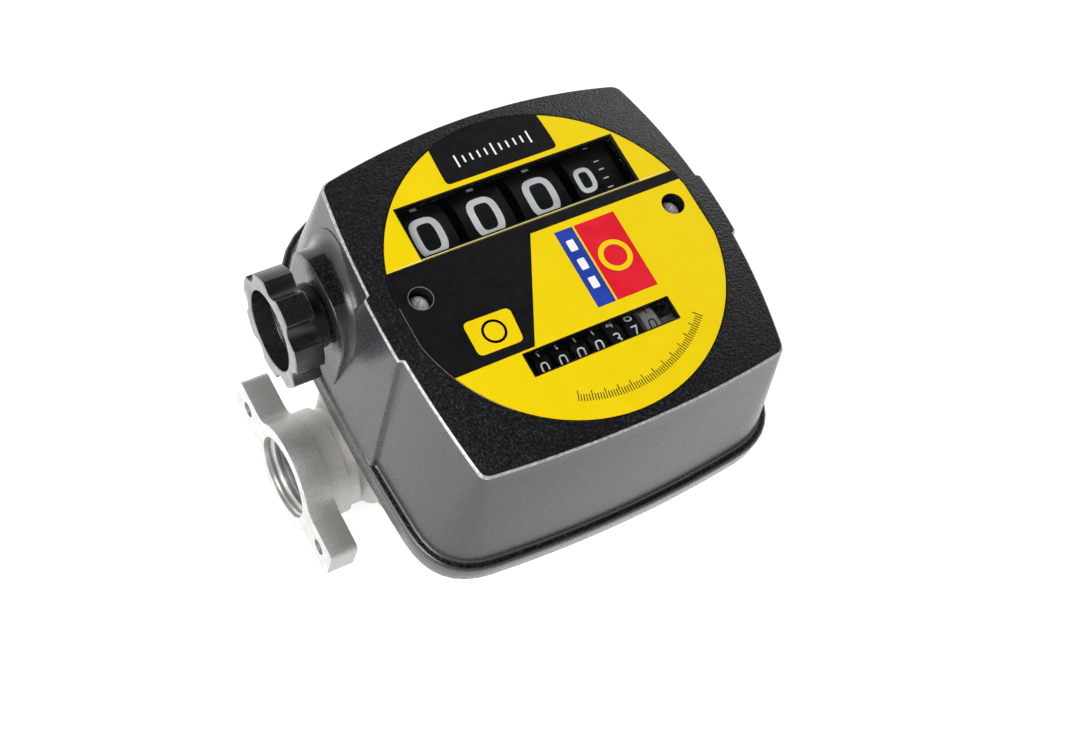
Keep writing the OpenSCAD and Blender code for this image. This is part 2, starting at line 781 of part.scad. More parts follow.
// Space that the nutating disc sweeps, with the sockets for its ball
module chamber_space() {
    translate([0, 0, port_z]) {
        rotate_extrude() polygon(concat([[0, -cone_h]],
            [for (k = [-3:3]) wall_r * [cos(cone_angle * k / 3), sin(cone_angle * k / 3)]],
            [[0, cone_h]]));
        sphere(ball_r + socket_gap);
        rotate([0, 0, partition_angle])
            translate([ball_r, -partition_t / 2 - run_gap, -chamber_half * slot_share])
                cube([chamber_r - ball_r - wall_margin, partition_t + 2 * run_gap,
                    2 * chamber_half * slot_share]);
        rotate([0, 90, 0]) cylinder(h = chamber_r + 2 * pad_half, r = chamber_port_r);
        rotate([0, 90, inlet_angle]) cylinder(h = chamber_r + pad_half, r = chamber_port_r);
    }
}

module chamber_block(z0, z1) {
    rod_z(0, 0, z0, z1, chamber_r);
    translate([0, -pad_half, z0]) cube([pad_x, 2 * pad_half, z1 - z0]);
}

module chamber_base() color("ivory") difference() {
    chamber_block(port_z - chamber_half, port_z);
    chamber_space();
}

module chamber_lid() color("ivory") difference() {
    union() {
        chamber_block(port_z, port_z + chamber_half);
        difference() {
            rod_z(0, 0, port_z + chamber_half - over, roof_z - seat_gap, lid_ring_r);
            rod_z(0, 0, port_z, roof_z + over, lid_ring_r - lid_ring_t);
        }
    }
    chamber_space();
    rod_z(0, 0, port_z, port_z + chamber_half + over, lid_hole_r);
}

module chamber_partition() color("gray") translate([0, 0, port_z])
    rotate([0, 0, partition_angle])
        translate([ball_r + 2 * socket_gap, -partition_t / 2, -chamber_half * slot_share + run_gap])
            cube([chamber_r - ball_r - wall_margin - 3 * socket_gap, partition_t,
                2 * (chamber_half * slot_share - run_gap)]);

module chamber_port_seal() color("black") difference() {
    rod_x(pad_x + seat_gap, pad_x + port_seal_t + seat_gap, 0, port_z,
        chamber_port_r + port_seal_w);
    rod_x(pad_x, pad_x + 2 * port_seal_t, 0, port_z, chamber_port_r + over);
}

// Leans a piece about the ball's centre as the disc leans at rest, without turning it
module leaned() {
    translate([0, 0, port_z]) rotate([0, 0, crank_angle]) rotate([0, tilt, 0])
        rotate([0, 0, -crank_angle]) children();
}

module nutating_disc() color("darkslategray") leaned() difference() {
    union() {
        difference() {
            cylinder(h = disc_t, r = disc_r, center = true);
            rotate([0, 0, partition_angle]) translate([0, -slot_half, -disc_t])
                cube([disc_r + over, 2 * slot_half, 2 * disc_t]);
        }
        sphere(ball_r);
    }
    translate([0, 0, -spindle_bottom]) cylinder(h = spindle_bottom + ball_r + over, r = spindle_r);
}

module disc_spindle() color("lightgray") leaned()
    translate([0, 0, -spindle_bottom + seat_gap])
        cylinder(h = spindle_bottom + spindle_top - seat_gap, r = spindle_r - run_gap / 2);

module drive_crank() color("lightgray") difference() {
    rod_z(0, 0, crank_z, crank_z + crank_t, crank_r);
    leaned() cylinder(h = spindle_top + crank_t * 2, r = spindle_r + run_gap);
    rod_z(0, 0, crank_z + over, crank_z + crank_t + over, drive_end_r + run_gap);
}

module drive_shaft() color("silver") {
    rod_z(0, 0, crank_z + over + seat_gap, crank_z + crank_t + over, drive_end_r);
    rod_z(0, 0, crank_z + crank_t + seat_gap, output_z - free_gap, drive_r);
    translate([0, 0, inter_z]) linear_extrude(gear_t) gear_2d(n_drive, drive_mod);
}

module shaft_bush() color("goldenrod") difference() {
    rod_z(0, 0, roof_z + seat_gap, roof_z + bush_t, bush_r - run_gap);
    rod_z(0, 0, roof_z, roof_z + bush_t + over, drive_r + run_gap);
}

module shaft_seal() color("black") difference() {
    rod_z(0, 0, roof_z + bush_t + seat_gap, roof_z + bush_t + seal_t, bush_r - run_gap);
    rod_z(0, 0, roof_z + bush_t, roof_z + bush_t + seal_t + over, drive_r + run_gap);
}

module intermediate_gear() color("goldenrod") difference() {
    union() {
        translate([stage_x, stage_y, inter_z]) linear_extrude(gear_t)
            gear_2d(n_inter, drive_mod, stage_phase);
        translate([stage_x, stage_y, inter_z + gear_t]) linear_extrude(stage_gap + gear_t)
            gear_2d(n_drive, drive_mod, stage_phase);
    }
    rod_z(stage_x, stage_y, tray_z, output_z + gear_t + over, stud_r + run_gap);
}

// Straight bevel gear with its large end at z = 0, whose teeth narrow towards an apex on +Z
module bevel(n, mate, phase) {
    apex = drive_mod * mate / 2;
    cone = atan2(n, mate);
    per_module = drive_mod * 180 / PI / norm([apex, drive_mod * n / 2]);
    linear_extrude(bevel_t * mate / n_bevel_b, scale = 1 - bevel_t / (drive_mod * n_bevel_b / 2))
        tooth_ring(n, apex * tan(cone - dedendum * per_module),
            apex * tan(cone + addendum * per_module), phase);
}

module output_gear() color("goldenrod") translate([output_x, cross_y, 0]) difference() {
    union() {
        translate([0, 0, output_z]) linear_extrude(gear_t)
            gear_2d(n_inter, drive_mod, output_phase);
        rod_z(0, 0, output_z, bevel_a_z + over / 2, output_hub_r);
        translate([0, 0, bevel_a_z]) bevel(n_bevel_a, n_bevel_b, 0);
    }
    rod_z(0, 0, tray_z, cross_z, stud_r + run_gap);
}

module bevel_gear() color("goldenrod") difference() {
    union() {
        intersection() {
            translate([bevel_b_x, cross_y, cross_z]) rotate([90, 0, -90])
                bevel(n_bevel_b, n_bevel_a, 90 + 180 / n_bevel_b);
            rod_x(output_x, bevel_b_x + over, cross_y, cross_z, bevel_blank_r);
        }
        rod_x(bevel_b_x - over / 2, bevel_b_x + bevel_hub_t, cross_y, cross_z, bevel_hub_r);
    }
    rod_x(output_x, bevel_b_x + bevel_hub_t + over, cross_y, cross_z, cross_r + run_gap);
}

module cross_shaft() color("silver")
    rod_x(-frame_x - frame_t, frame_x + frame_t, cross_y, cross_z, cross_r);

module register_drive_pinion() color("goldenrod") difference() {
    along_x(final_x, final_x + gear_t, cross_y, cross_z) gear_2d(n_cross, final_mod);
    rod_x(final_x - over, final_x + gear_t + over, cross_y, cross_z, cross_r + run_gap);
}

// Rim, web and hub of a number wheel that is centred on x
module wheel_body(x, y, z, r, w, hub, bore) {
    difference() {
        rod_x(x - w / 2, x + w / 2, y, z, r);
        for (k = [-1, 1]) rod_x(x + k * w / 2 - (k > 0 ? w / 2 - wheel_web_t / 2 : over),
            x + k * w / 2 + (k > 0 ? over : w / 2 - wheel_web_t / 2), y, z, r - wheel_rim_t);
    }
    rod_x(x - w / 2, x + w / 2, y, z, hub);
}

// Short segment of teeth that passes a wheel's carry to the next pinion
module carry_lug(m, c) {
    tip = c - m * (n_transfer / 2 + addendum) - free_gap;
    circle(tip * lug_core_share);
    for (k = [0:lug_teeth - 1]) rotate([0, 0, transfer_angle + 90 + (k - 0.5) * 360 / n_ring])
        translate([tip * lug_start_share, -m * lug_half_share])
            square([tip * (1 - lug_start_share), 2 * m * lug_half_share]);
}

module register_wheel(k) {
    x = wheel_x - (k - 1) * wheel_pitch;
    edge = x + wheel_w / 2;
    color("black") difference() {
        union() {
            wheel_body(x, wheel_y, wheel_z, wheel_r, wheel_w, wheel_hub_r, register_shaft_r);
            if (k == 1) {
                rod_x(edge - over, final_x, wheel_y, wheel_z, wheel_hub_r);
                along_x(final_x, final_x + gear_t, wheel_y, wheel_z)
                    gear_2d(n_final, final_mod, final_phase);
            }
            if (k > 1) along_x(edge - seat_gap, edge + wheel_space * ring_space_share, wheel_y,
                wheel_z) gear_2d(n_ring, transfer_mod);
            if (k < 4) along_x(x - wheel_w / 2 - wheel_space * lug_space_share,
                x - wheel_w / 2 + seat_gap, wheel_y, wheel_z) carry_lug(transfer_mod, transfer_c);
        }
        rod_x(x - wheel_pitch, x + wheel_pitch, wheel_y, wheel_z, register_shaft_r + run_gap);
    }
}

module totaliser_wheel(k) {
    x = total_x - (k - 1) * total_pitch;
    edge = x + total_wheel_w / 2;
    color(k == 1 ? "lightgray" : "black") difference() {
        union() {
            rod_x(x - total_wheel_w / 2, edge, -total_y, total_z, total_r);
            if (k == 1) {
                rod_x(edge - over, total_gear_x + over, -total_y, total_z, total_hub_r);
                along_x(total_gear_x, total_gear_x + gear_t, -total_y, total_z)
                    gear_2d(n_total, total_mod, total_phase);
            }
            if (k > 1) along_x(edge - seat_gap, edge + total_space * ring_space_share, -total_y,
                total_z) gear_2d(n_ring, total_transfer_mod);
            if (k < total_wheels) along_x(x - total_wheel_w / 2 - total_space * lug_space_share,
                x - total_wheel_w / 2 + seat_gap, -total_y, total_z)
                    carry_lug(total_transfer_mod, total_transfer_c);
        }
        rod_x(-frame_x, frame_x, -total_y, total_z, total_shaft_r + run_gap);
    }
}

// Pinion in the space on the left of wheel k
module transfer_pinion(k) {
    mid = wheel_x - (k - 0.5) * wheel_pitch;
    half = wheel_space * pinion_space_share / 2;
    color("white") difference() {
        along_x(mid - half, mid + half, transfer_y, transfer_z)
            gear_2d(n_transfer, transfer_mod, transfer_phase);
        rod_x(mid - wheel_space, mid + wheel_space, transfer_y, transfer_z,
            transfer_shaft_r + run_gap);
    }
}

module totaliser_pinion(k) {
    mid = total_x - (k - 0.5) * total_pitch;
    half = total_space * pinion_space_share / 2;
    color("white") difference() {
        along_x(mid - half, mid + half, total_transfer_y, total_transfer_z)
            gear_2d(n_transfer, total_transfer_mod, total_transfer_phase);
        rod_x(mid - total_space, mid + total_space, total_transfer_y, total_transfer_z,
            total_transfer_shaft_r + run_gap);
    }
}

module register_idler() color("goldenrod") difference() {
    along_x(final_x, final_x + gear_t, idle_y, idle_z) gear_2d(n_idle, final_mod, idle_phase);
    rod_x(final_x - over, final_x + gear_t + over, idle_y, idle_z, idler_stud_r + run_gap);
}

module totaliser_idler() color("goldenrod") difference() {
    union() {
        along_x(final_x, final_x + gear_t, total_idle_y, total_idle_z)
            gear_2d(n_total_a, final_mod, total_idle_phase);
        along_x(total_gear_x, final_x + over / 2, total_idle_y, total_idle_z)
            gear_2d(n_total_b, total_mod, total_idle_phase);
    }
    rod_x(total_gear_x - over, final_x + gear_t + over, total_idle_y, total_idle_z,
        idler_stud_r + run_gap);
}

module gear_studs() color("silver") {
    rod_z(stage_x, stage_y, tray_z - roof_t / 2 + seat_gap, output_z + gear_t + over, stud_r);
    rod_z(output_x, cross_y, tray_z - roof_t / 2 + seat_gap, bevel_a_z + bevel_t + over, stud_r);
    rod_x(final_x - over / 2, frame_x + frame_t, idle_y, idle_z, idler_stud_r);
    rod_x(total_gear_x - over / 2, frame_x + frame_t, total_idle_y, total_idle_z, idler_stud_r);
}

module pinion_shafts() color("silver") {
    rod_x(-frame_x - frame_t, frame_x + frame_t, transfer_y, transfer_z, transfer_shaft_r);
    rod_x(-frame_x - frame_t, frame_x + frame_t, total_transfer_y, total_transfer_z,
        total_transfer_shaft_r);
}

module totaliser_shaft() color("silver")
    rod_x(-frame_x - frame_t, frame_x + frame_t, -total_y, total_z, total_shaft_r);

module register_shaft() color("silver") {
    rod_x(-reset_gear_x, frame_x + frame_t, wheel_y, wheel_z, register_shaft_r);
    along_x(-reset_gear_x - reset_gear_t, -reset_gear_x, wheel_y, wheel_z)
        gear_2d(n_reset, reset_mod, reset_phase);
}

// Outline of a frame plate in Y and Z, round all its bearings
module frame_2d() {
    low = tray_z;
    polygon([[foot_low_y - foot_w / 2, low], [foot_low_y - foot_w / 2, low + tie_mid_lift],
        [-total_y - total_r, total_z], [-total_y - frame_margin, total_z + frame_margin],
        [-total_y + frame_margin, total_z + frame_margin], [transfer_y, transfer_z + frame_margin],
        [knob_y - frame_margin, knob_z + frame_margin],
        [knob_y + frame_margin, knob_z + frame_margin],
        [tie_high_y + frame_margin, wheel_z], [tie_high_y + frame_margin, low]]);
}

module frame_plate(side) {
    x0 = side < 0 ? -frame_x - frame_t : frame_x;
    foot_x = side < 0 ? -frame_x : frame_x - foot_len;
    along_x(x0, x0 + frame_t) difference() {
        frame_2d();
        translate([wheel_y, wheel_z]) circle(register_shaft_r + run_gap);
        translate([cross_y, cross_z]) circle(cross_r + run_gap);
        translate([transfer_y, transfer_z]) circle(transfer_shaft_r + run_gap);
        translate([-total_y, total_z]) circle(total_shaft_r + run_gap);
        translate([total_transfer_y, total_transfer_z])
            circle(total_transfer_shaft_r + run_gap);
        if (side < 0) translate([knob_y, knob_z]) circle(knob_pivot_r + run_gap);
        if (side > 0) for (p = [[idle_y, idle_z], [total_idle_y, total_idle_z]])
            translate(p) circle(idler_stud_r + run_gap);
    }
    for (y = [foot_low_y, foot_high_y]) difference() {
        translate([foot_x - (side < 0 ? over / 2 : 0), y - foot_w / 2, tray_z])
            cube([foot_len + over / 2, foot_w, frame_t]);
        rod_z(side * (frame_x - foot_len / 2), y, tray_z - over, tray_z + frame_t + over,
            frame_screw_r + run_gap);
    }
}

module register_frame_left() color("gainsboro") frame_plate(-1);
module register_frame_right() color("gainsboro") frame_plate(1);

module frame_tie_bars() color("silver")
    for (p = tie_places) rod_x(-frame_x, frame_x, p[0], p[1], tie_r);

module frame_screws() color("gray") both_sides() for (y = [foot_low_y, foot_high_y])
    translate([frame_x - foot_len / 2, y, tray_z + frame_t + frame_head_t])
        cross_screw(frame_screw_r, frame_screw_len + frame_t - seat_gap, frame_head_r,
            frame_head_t);

module cover_gasket() color("black") translate([0, 0, top_z]) linear_extrude(gasket_t)
    difference() {
        polygon(rim_outline(top_inset, 0));
        polygon(rim_outline(top_inset + tray_wall - over, 0));
    }

// Outer form of the front cover, from the rim up over the domed face
module cover_form() {
    rim = rim_outline(0, 0);
    rim_in = rim_outline(rim_edge, 0);
    face = face_outline(0, band_rise);
    inner = face_outline(edge_r, band_rise);
    seat = seat_ring(inner, dial_r - over, dial_flat - over);
    loft([at_z(rim_in, joint_z), at_z(rim, joint_z + rim_edge),
        at_z(rim, rim_top_z - rim_edge), at_z(rim_in, rim_top_z),
        at_z(rim_outline(rim_step, band_rise), rim_top_z), on_dome(face, edge_r),
        for (b = edge_shares) on_dome(face_outline(edge_r * b[0], band_rise), edge_r * b[1]),
        on_dome(inner, 0),
        on_dome(mix_rings(inner, seat, 0.5), 0), on_dome(seat, 0)]);
}

// Space inside the front cover
module cover_space() {
    base = rim_outline(rim_step + cover_t, 0);
    face = face_outline(cover_t, 0);
    seat = seat_ring(face, dial_r - cover_t, dial_r);
    loft([at_z(base, joint_z - over), at_z(base, rim_top_z),
        on_dome(face, cover_t * space_drop_share), at_z(seat, inner_z)]);
}

// Distance of the cover's left wall from the middle at a place, without its band
function wall_x(y, z) = let(
    t = (z - rim_top_z) / (seat_z - rim_top_z),
    v = y / mix(rim_hy - rim_bulge_y, face_hy - face_bulge_y, t))
    mix(rim_hx + rim_shift - rim_step, face_hx, t) - mix(rim_bulge_x, face_bulge_x, t) * v * v;

// Outline of the boss in Y and Z: up its low side, round the two corners and down
function boss_outline(grow) = let(
    y0 = knob_y - boss_low + boss_low_r,
    y1 = knob_y + boss_high - boss_high_r)
    concat([[knob_y - boss_low - grow, joint_z]],
        [for (a = boss_angles) [y0 - (boss_low_r + grow) * cos(a),
            boss_top_z - boss_low_r + (boss_low_r + grow) * sin(a)]],
        [for (a = boss_angles) [y1 + (boss_high_r + grow) * sin(a),
            boss_top_z - boss_high_r + (boss_high_r + grow) * cos(a)]],
        [[knob_y + boss_high + grow, joint_z]]);

// That outline laid at a height above the side wall, lower where the boss itself is low
function on_wall(grow, rise) = [for (p = boss_outline(grow)) let(
    x = min(wall_x(p[0], p[1]), boss_face_x - boss_edge_r) - boss_sink,
    room = (boss_face_x - boss_edge_r - x) / boss_fillet_r)
    [-x - min(1, room) * rise, p[0], p[1]]];
function on_face(grow, depth) = [for (p = boss_outline(grow))
    [-boss_face_x + depth, p[0], p[1]]];

// Arched boss on the left side that carries the reset knob, with a fillet at its root
module knob_boss() {
    loft(concat([on_wall(boss_fillet_r, -boss_root)],
        [for (a = fillet_angles) on_wall(boss_fillet_r * (1 - sin(a)), boss_fillet_r * (1 - cos(a)))],
        [for (b = boss_edge_shares) on_face(-boss_edge_r * b[0], boss_edge_r * b[1])]));
}

module front_cover() color("dimgray") difference() {
    union() {
        difference() {
            union() {
                cover_form();
                knob_boss();
            }
            cover_space();
        }
        both_sides() {
            rod_z(cover_screw_x, cover_screw_y, tray_z + seat_gap, seat_z, post_r);
            rod_z(cover_screw_x, cover_screw_y, dial_z - well_deep - well_wall, seat_z,
                screw_well_r + well_wall);
        }
        bush_seat();
    }
    both_sides() {
        rod_z(cover_screw_x, cover_screw_y, dial_z - well_deep, dial_z + over, screw_well_r);
        rod_z(cover_screw_x, cover_screw_y, tray_z - over, dial_z, cover_screw_r + 2 * run_gap);
    }
    translate([0, 0, seat_z]) linear_extrude(dial_t + over) dial_2d(dial_gap);
    window_cut(window_w, window_h, window_y);
    window_cut(total_w, total_h, -total_y);
    rod_x(-boss_face_x - over, -boss_face_x + boss_deep, knob_y, knob_z, knob_bush_r + run_gap);
}

// Tube inside the boss that holds the knob's bush
module bush_seat() {
    rod_x(-boss_face_x + over, -boss_face_x + knob_bush_len, knob_y, knob_z, knob_bush_r + cover_t);
}

// Window through the front web, with a rebate for the pane
module window_cut(w, h, y) {
    translate([-w / 2, y - h / 2, inner_z - over]) cube([w, h, front_t + 2 * over]);
    translate([-w / 2 - pane_lip, y - h / 2 - pane_lip, seat_z - pane_t])
        cube([w + 2 * pane_lip, h + 2 * pane_lip, pane_t + over]);
}

module window_panes() color("lightcyan", 0.4)
    for (p = [[window_w, window_h, window_y], [total_w, total_h, -total_y]])
        translate([-p[0] / 2 - pane_lip + seat_gap, p[2] - p[1] / 2 - pane_lip + seat_gap,
            seat_z - pane_t + run_gap])
            cube([p[0] + 2 * (pane_lip - seat_gap), p[1] + 2 * (pane_lip - seat_gap),
                pane_t - 2 * run_gap]);

// Round outline with two flats that the dial and its seat share
module dial_2d(gap) {
    intersection() {
        circle(dial_r + gap);
        square([2 * (dial_flat + gap), 2 * (dial_r + gap)], center = true);
    }
}

module dial_plate() color("gold") translate([0, 0, seat_z]) linear_extrude(dial_t) difference() {
    dial_2d(0);
    translate([-window_w / 2, window_y - window_h / 2]) square([window_w, window_h]);
    translate([-total_w / 2, -total_y - total_h / 2]) square([total_w, total_h]);
    for (side = [-1, 1]) translate([side * cover_screw_x, cover_screw_y]) circle(screw_well_r);
}

module cover_screws() color("silver") both_sides()
    translate([cover_screw_x, cover_screw_y, dial_z - well_deep + cover_head_t])
        cross_screw(cover_screw_r, dial_z - well_deep - tray_z + cover_screw_bite - seat_gap,
            cover_head_r, cover_head_t);

module knob_bush() color("black") difference() {
    union() {
        rod_x(-boss_face_x - knob_bush_head_t, -boss_face_x, knob_y, knob_z, knob_bush_head_r);
        rod_x(-boss_face_x - over / 2, -boss_face_x + knob_bush_len, knob_y, knob_z, knob_bush_r);
    }
    rod_x(-boss_face_x - over * 2, -boss_face_x + knob_bush_len + over, knob_y, knob_z,
        knob_shaft_r + run_gap);
}

module reset_knob() color("black") difference() {
    union() {
        rod_x(-knob_x, -knob_back_x, knob_y, knob_z, knob_r);
        rod_x(-knob_back_x - over, -boss_face_x - knob_bush_head_t - free_gap, knob_y, knob_z,
            knob_hub_r);
    }
    difference() {
        rod_x(-knob_x - over, -knob_x + cup_deep, knob_y, knob_z, cup_r);
        rod_x(-knob_x + knob_core_deep, -knob_x + cup_deep + over, knob_y, knob_z, knob_core_r);
    }
    for (i = [0:knob_grooves - 1]) translate([0, knob_y, knob_z])
        rotate([(i + 0.5) * 360 / knob_grooves, 0, 0])
            rod_x(-knob_x - over, -knob_back_x + over, knob_r - groove_deep + groove_r, 0,
                groove_r);
    rod_x(-knob_x, -boss_face_x + over, knob_y, knob_z, knob_shaft_r + run_gap);
}

module knob_shaft() color("silver") {
    rod_x(-knob_x + knob_core_deep + shaft_end_inset, -reset_gear_x, knob_y, knob_z,
        knob_shaft_r);
    along_x(-reset_gear_x - reset_gear_t, -reset_gear_x, knob_y, knob_z)
        gear_2d(n_reset, reset_mod);
    rod_x(-reset_gear_x - over, -frame_x, knob_y, knob_z, knob_pivot_r);
}

module calibration_plug() color("gray") translate([cal_x, 0, port_z]) rotate([90, 0, 0])
    difference() {
        translate([0, 0, cal_face_y - cal_plug_t]) cylinder(h = cal_plug_t, r = cal_plug_r);
        translate([0, 0, cal_face_y - cal_socket_deep])
            cylinder(h = cal_socket_deep + over, r = cal_socket_r, $fn = 6);
    }

module calibration_screw() color("goldenrod") translate([cal_x, 0, port_z])
    rotate([90, 0, 0]) difference() {
        union() {
            translate([0, 0, cal_face_y - cal_plug_t - 2 * free_gap - cal_screw_t])
                cylinder(h = cal_screw_t, r = cal_screw_r);
            translate([0, 0, cal_face_y - cal_plug_t - 2 * free_gap - cal_screw_t - cal_tip_t])
                cylinder(h = cal_tip_t + over, r = cal_tip_r);
        }
        translate([-cal_screw_r, -cal_slot_w / 2, cal_face_y - cal_plug_t - 2 * free_gap
            - cal_slot_deep]) cube([2 * cal_screw_r, cal_slot_w, cal_slot_deep + over]);
    }

meter_body();
back_cover();
back_cover_screws();
back_cover_seal();
inlet_strainer();
chamber_base();
chamber_lid();
chamber_partition();
chamber_port_seal();
shaft_bush();
shaft_seal();
cover_gasket();
front_cover();
cover_screws();
dial_plate();
window_panes();
knob_bush();
register_frame_left();
register_frame_right();
frame_tie_bars();
frame_screws();
pinion_shafts();
totaliser_shaft();
gear_studs();
calibration_plug();
calibration_screw();
nutating_disc();
disc_spindle();
drive_crank();
drive_shaft();
intermediate_gear();
output_gear();
cross_shaft();
bevel_gear();
register_drive_pinion();
register_wheel(1);  // register_wheel_1
register_wheel(2);  // register_wheel_2
register_wheel(3);  // register_wheel_3
register_wheel(4);  // register_wheel_4
transfer_pinion(1);  // transfer_pinion_1
transfer_pinion(2);  // transfer_pinion_2
transfer_pinion(3);  // transfer_pinion_3
totaliser_wheel(1);  // totaliser_wheel_1
totaliser_wheel(2);  // totaliser_wheel_2
totaliser_wheel(3);  // totaliser_wheel_3
totaliser_wheel(4);  // totaliser_wheel_4
totaliser_wheel(5);  // totaliser_wheel_5
totaliser_wheel(6);  // totaliser_wheel_6
totaliser_wheel(7);  // totaliser_wheel_7
totaliser_pinion(1);  // totaliser_pinion_1
totaliser_pinion(2);  // totaliser_pinion_2
totaliser_pinion(3);  // totaliser_pinion_3
totaliser_pinion(4);  // totaliser_pinion_4
totaliser_pinion(5);  // totaliser_pinion_5
totaliser_pinion(6);  // totaliser_pinion_6
register_idler();
totaliser_idler();
reset_knob();
knob_shaft();
register_shaft();
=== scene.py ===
# Looks of the mechanical flow meter, in metres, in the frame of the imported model:
# the meter lies on its back, +Z out of the dial, +Y to the top of the dial.
import json
import math

import bmesh
import bpy
from mathutils import Matrix, Vector

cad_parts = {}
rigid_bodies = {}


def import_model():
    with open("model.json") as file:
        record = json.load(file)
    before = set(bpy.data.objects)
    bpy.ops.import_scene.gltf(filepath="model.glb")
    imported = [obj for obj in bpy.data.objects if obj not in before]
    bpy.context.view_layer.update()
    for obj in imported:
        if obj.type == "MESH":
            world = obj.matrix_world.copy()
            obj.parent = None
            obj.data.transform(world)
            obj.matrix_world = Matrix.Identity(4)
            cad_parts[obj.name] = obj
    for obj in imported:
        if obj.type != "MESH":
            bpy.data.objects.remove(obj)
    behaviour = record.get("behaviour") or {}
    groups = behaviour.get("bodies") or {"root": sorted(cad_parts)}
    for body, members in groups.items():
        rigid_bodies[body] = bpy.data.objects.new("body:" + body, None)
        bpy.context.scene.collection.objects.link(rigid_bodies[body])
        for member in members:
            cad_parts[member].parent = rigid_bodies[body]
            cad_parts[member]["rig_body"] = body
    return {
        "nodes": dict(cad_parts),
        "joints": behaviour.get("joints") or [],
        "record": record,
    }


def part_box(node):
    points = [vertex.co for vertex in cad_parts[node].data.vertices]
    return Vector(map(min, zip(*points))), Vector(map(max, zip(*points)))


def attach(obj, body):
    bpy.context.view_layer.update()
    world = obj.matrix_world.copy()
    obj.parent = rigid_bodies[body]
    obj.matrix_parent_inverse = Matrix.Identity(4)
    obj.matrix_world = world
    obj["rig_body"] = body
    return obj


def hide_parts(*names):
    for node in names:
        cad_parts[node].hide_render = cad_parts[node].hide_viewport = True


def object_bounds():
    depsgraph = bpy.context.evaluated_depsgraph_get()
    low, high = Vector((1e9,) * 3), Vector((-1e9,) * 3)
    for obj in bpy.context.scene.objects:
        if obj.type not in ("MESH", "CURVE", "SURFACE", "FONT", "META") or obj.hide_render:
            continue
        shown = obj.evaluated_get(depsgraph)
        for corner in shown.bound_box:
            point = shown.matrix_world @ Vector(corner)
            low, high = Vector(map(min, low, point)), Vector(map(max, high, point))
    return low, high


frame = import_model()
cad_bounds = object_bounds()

MM = 0.001
NODES = frame["nodes"]


def joint(name):
    """Place of a joint, as a vector."""
    return Vector(next(j["pos_m"] for j in frame["joints"] if j["name"] == name))


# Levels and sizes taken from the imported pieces
DIAL_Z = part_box("dial_plate")[1].z
SEAT_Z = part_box("dial_plate")[0].z
COVER_FOOT_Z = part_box("front_cover")[0].z
RIM_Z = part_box("cover_gasket")[1].z
PORT_FACE = cad_bounds[1].x

# Axes of the knob, of the register and the totaliser, and height of the ports' axis
KNOB = joint("knob_turn")
WHEEL = joint("register_1_turn")
TOTAL = joint("totaliser_1_turn")
PORT_Z = joint("crank_turn").z

# Edges that turn by more degrees than this are shaded sharp; the second is for threads and screws
SHARP_ANGLE = 35
FINE_SHARP = 30
# Points nearer to each other than this become one: in the pieces made here and in CAD nodes
WELD = 0.001 * MM
CAD_WELD = 0.002 * MM
# How far a cutting tool reaches past the face that it cuts
CUT_OVER = 1 * MM


# Objects and meshes

def link(name, data):
    """New object in the scene."""
    obj = bpy.data.objects.new(name, data)
    bpy.context.scene.collection.objects.link(obj)
    return obj


def add_object(name, mesh, body, materials):
    """A finished piece that rides on a body, with the materials given."""
    obj = link(name, mesh)
    for mat in materials:
        mesh.materials.append(mat)
    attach(obj, body)
    return obj


def smooth(mesh, sharp=SHARP_ANGLE):
    """Smooth shading, except over edges sharper than the angle."""
    mesh.polygons.foreach_set("use_smooth", [True] * len(mesh.polygons))
    mesh.set_sharp_from_angle(angle=math.radians(sharp))


def mesh_from(bm, name, sharp=SHARP_ANGLE):
    """Mesh of a bmesh, with its faces turned outwards and shaded smooth."""
    bmesh.ops.recalc_face_normals(bm, faces=bm.faces)
    mesh = bpy.data.meshes.new(name)
    bm.to_mesh(mesh)
    bm.free()
    smooth(mesh, sharp)
    return mesh


def applied(obj, name):
    """Mesh of an object with its modifiers applied; the object is removed."""
    graph = bpy.context.evaluated_depsgraph_get()
    mesh = bpy.data.meshes.new_from_object(obj.evaluated_get(graph))
    mesh.name = name
    bpy.data.objects.remove(obj)
    return mesh


def boolean(mesh, tools, operation, name):
    """Mesh cut by, or joined to, each tool mesh in turn."""
    obj = link("tool", mesh)
    helpers = [link("tool", tool) for tool in tools]
    for helper in helpers:
        mod = obj.modifiers.new("cut", "BOOLEAN")
        mod.operation = operation
        mod.solver = "EXACT"
        mod.object = helper
    bpy.context.view_layer.update()
    result = applied(obj, name)
    for helper in helpers:
        bpy.data.objects.remove(helper)
    return result


def loft(rings, name):
    """Closed skin through rings of equally many points."""
    bm = bmesh.new()
    rows = [[bm.verts.new(p) for p in ring] for ring in rings]
    count = len(rows[0])
    for low, high in zip(rows, rows[1:]):
        for i in range(count):
            j = (i + 1) % count
            bm.faces.new((low[i], low[j], high[j], high[i]))
    bm.faces.new(rows[0][::-1])
    bm.faces.new(rows[-1])
    return mesh_from(bm, name)


def lathe(profile, name, steps, centre=(0, 0, 0), along_x=False):
    """Closed solid turned from a profile of (radius, height) pairs, which is closed itself."""
    bm = bmesh.new()
    turn = Matrix.Rotation(math.pi / 2, 4, "Y") if along_x else Matrix.Identity(4)
    place = Matrix.Translation(centre) @ turn
    rows = []
    for k in range(steps):
        a = 2 * math.pi * k / steps
        rows.append([bm.verts.new(place @ Vector((r * math.cos(a), r * math.sin(a), h)))
                     for r, h in profile])
    count = len(profile)
    for k in range(steps):
        near, far = rows[k], rows[(k + 1) % steps]
        for i in range(count):
            j = (i + 1) % count
            bm.faces.new([near[i], far[i], far[j], near[j]])
    bmesh.ops.remove_doubles(bm, verts=bm.verts, dist=WELD)
    return mesh_from(bm, name)


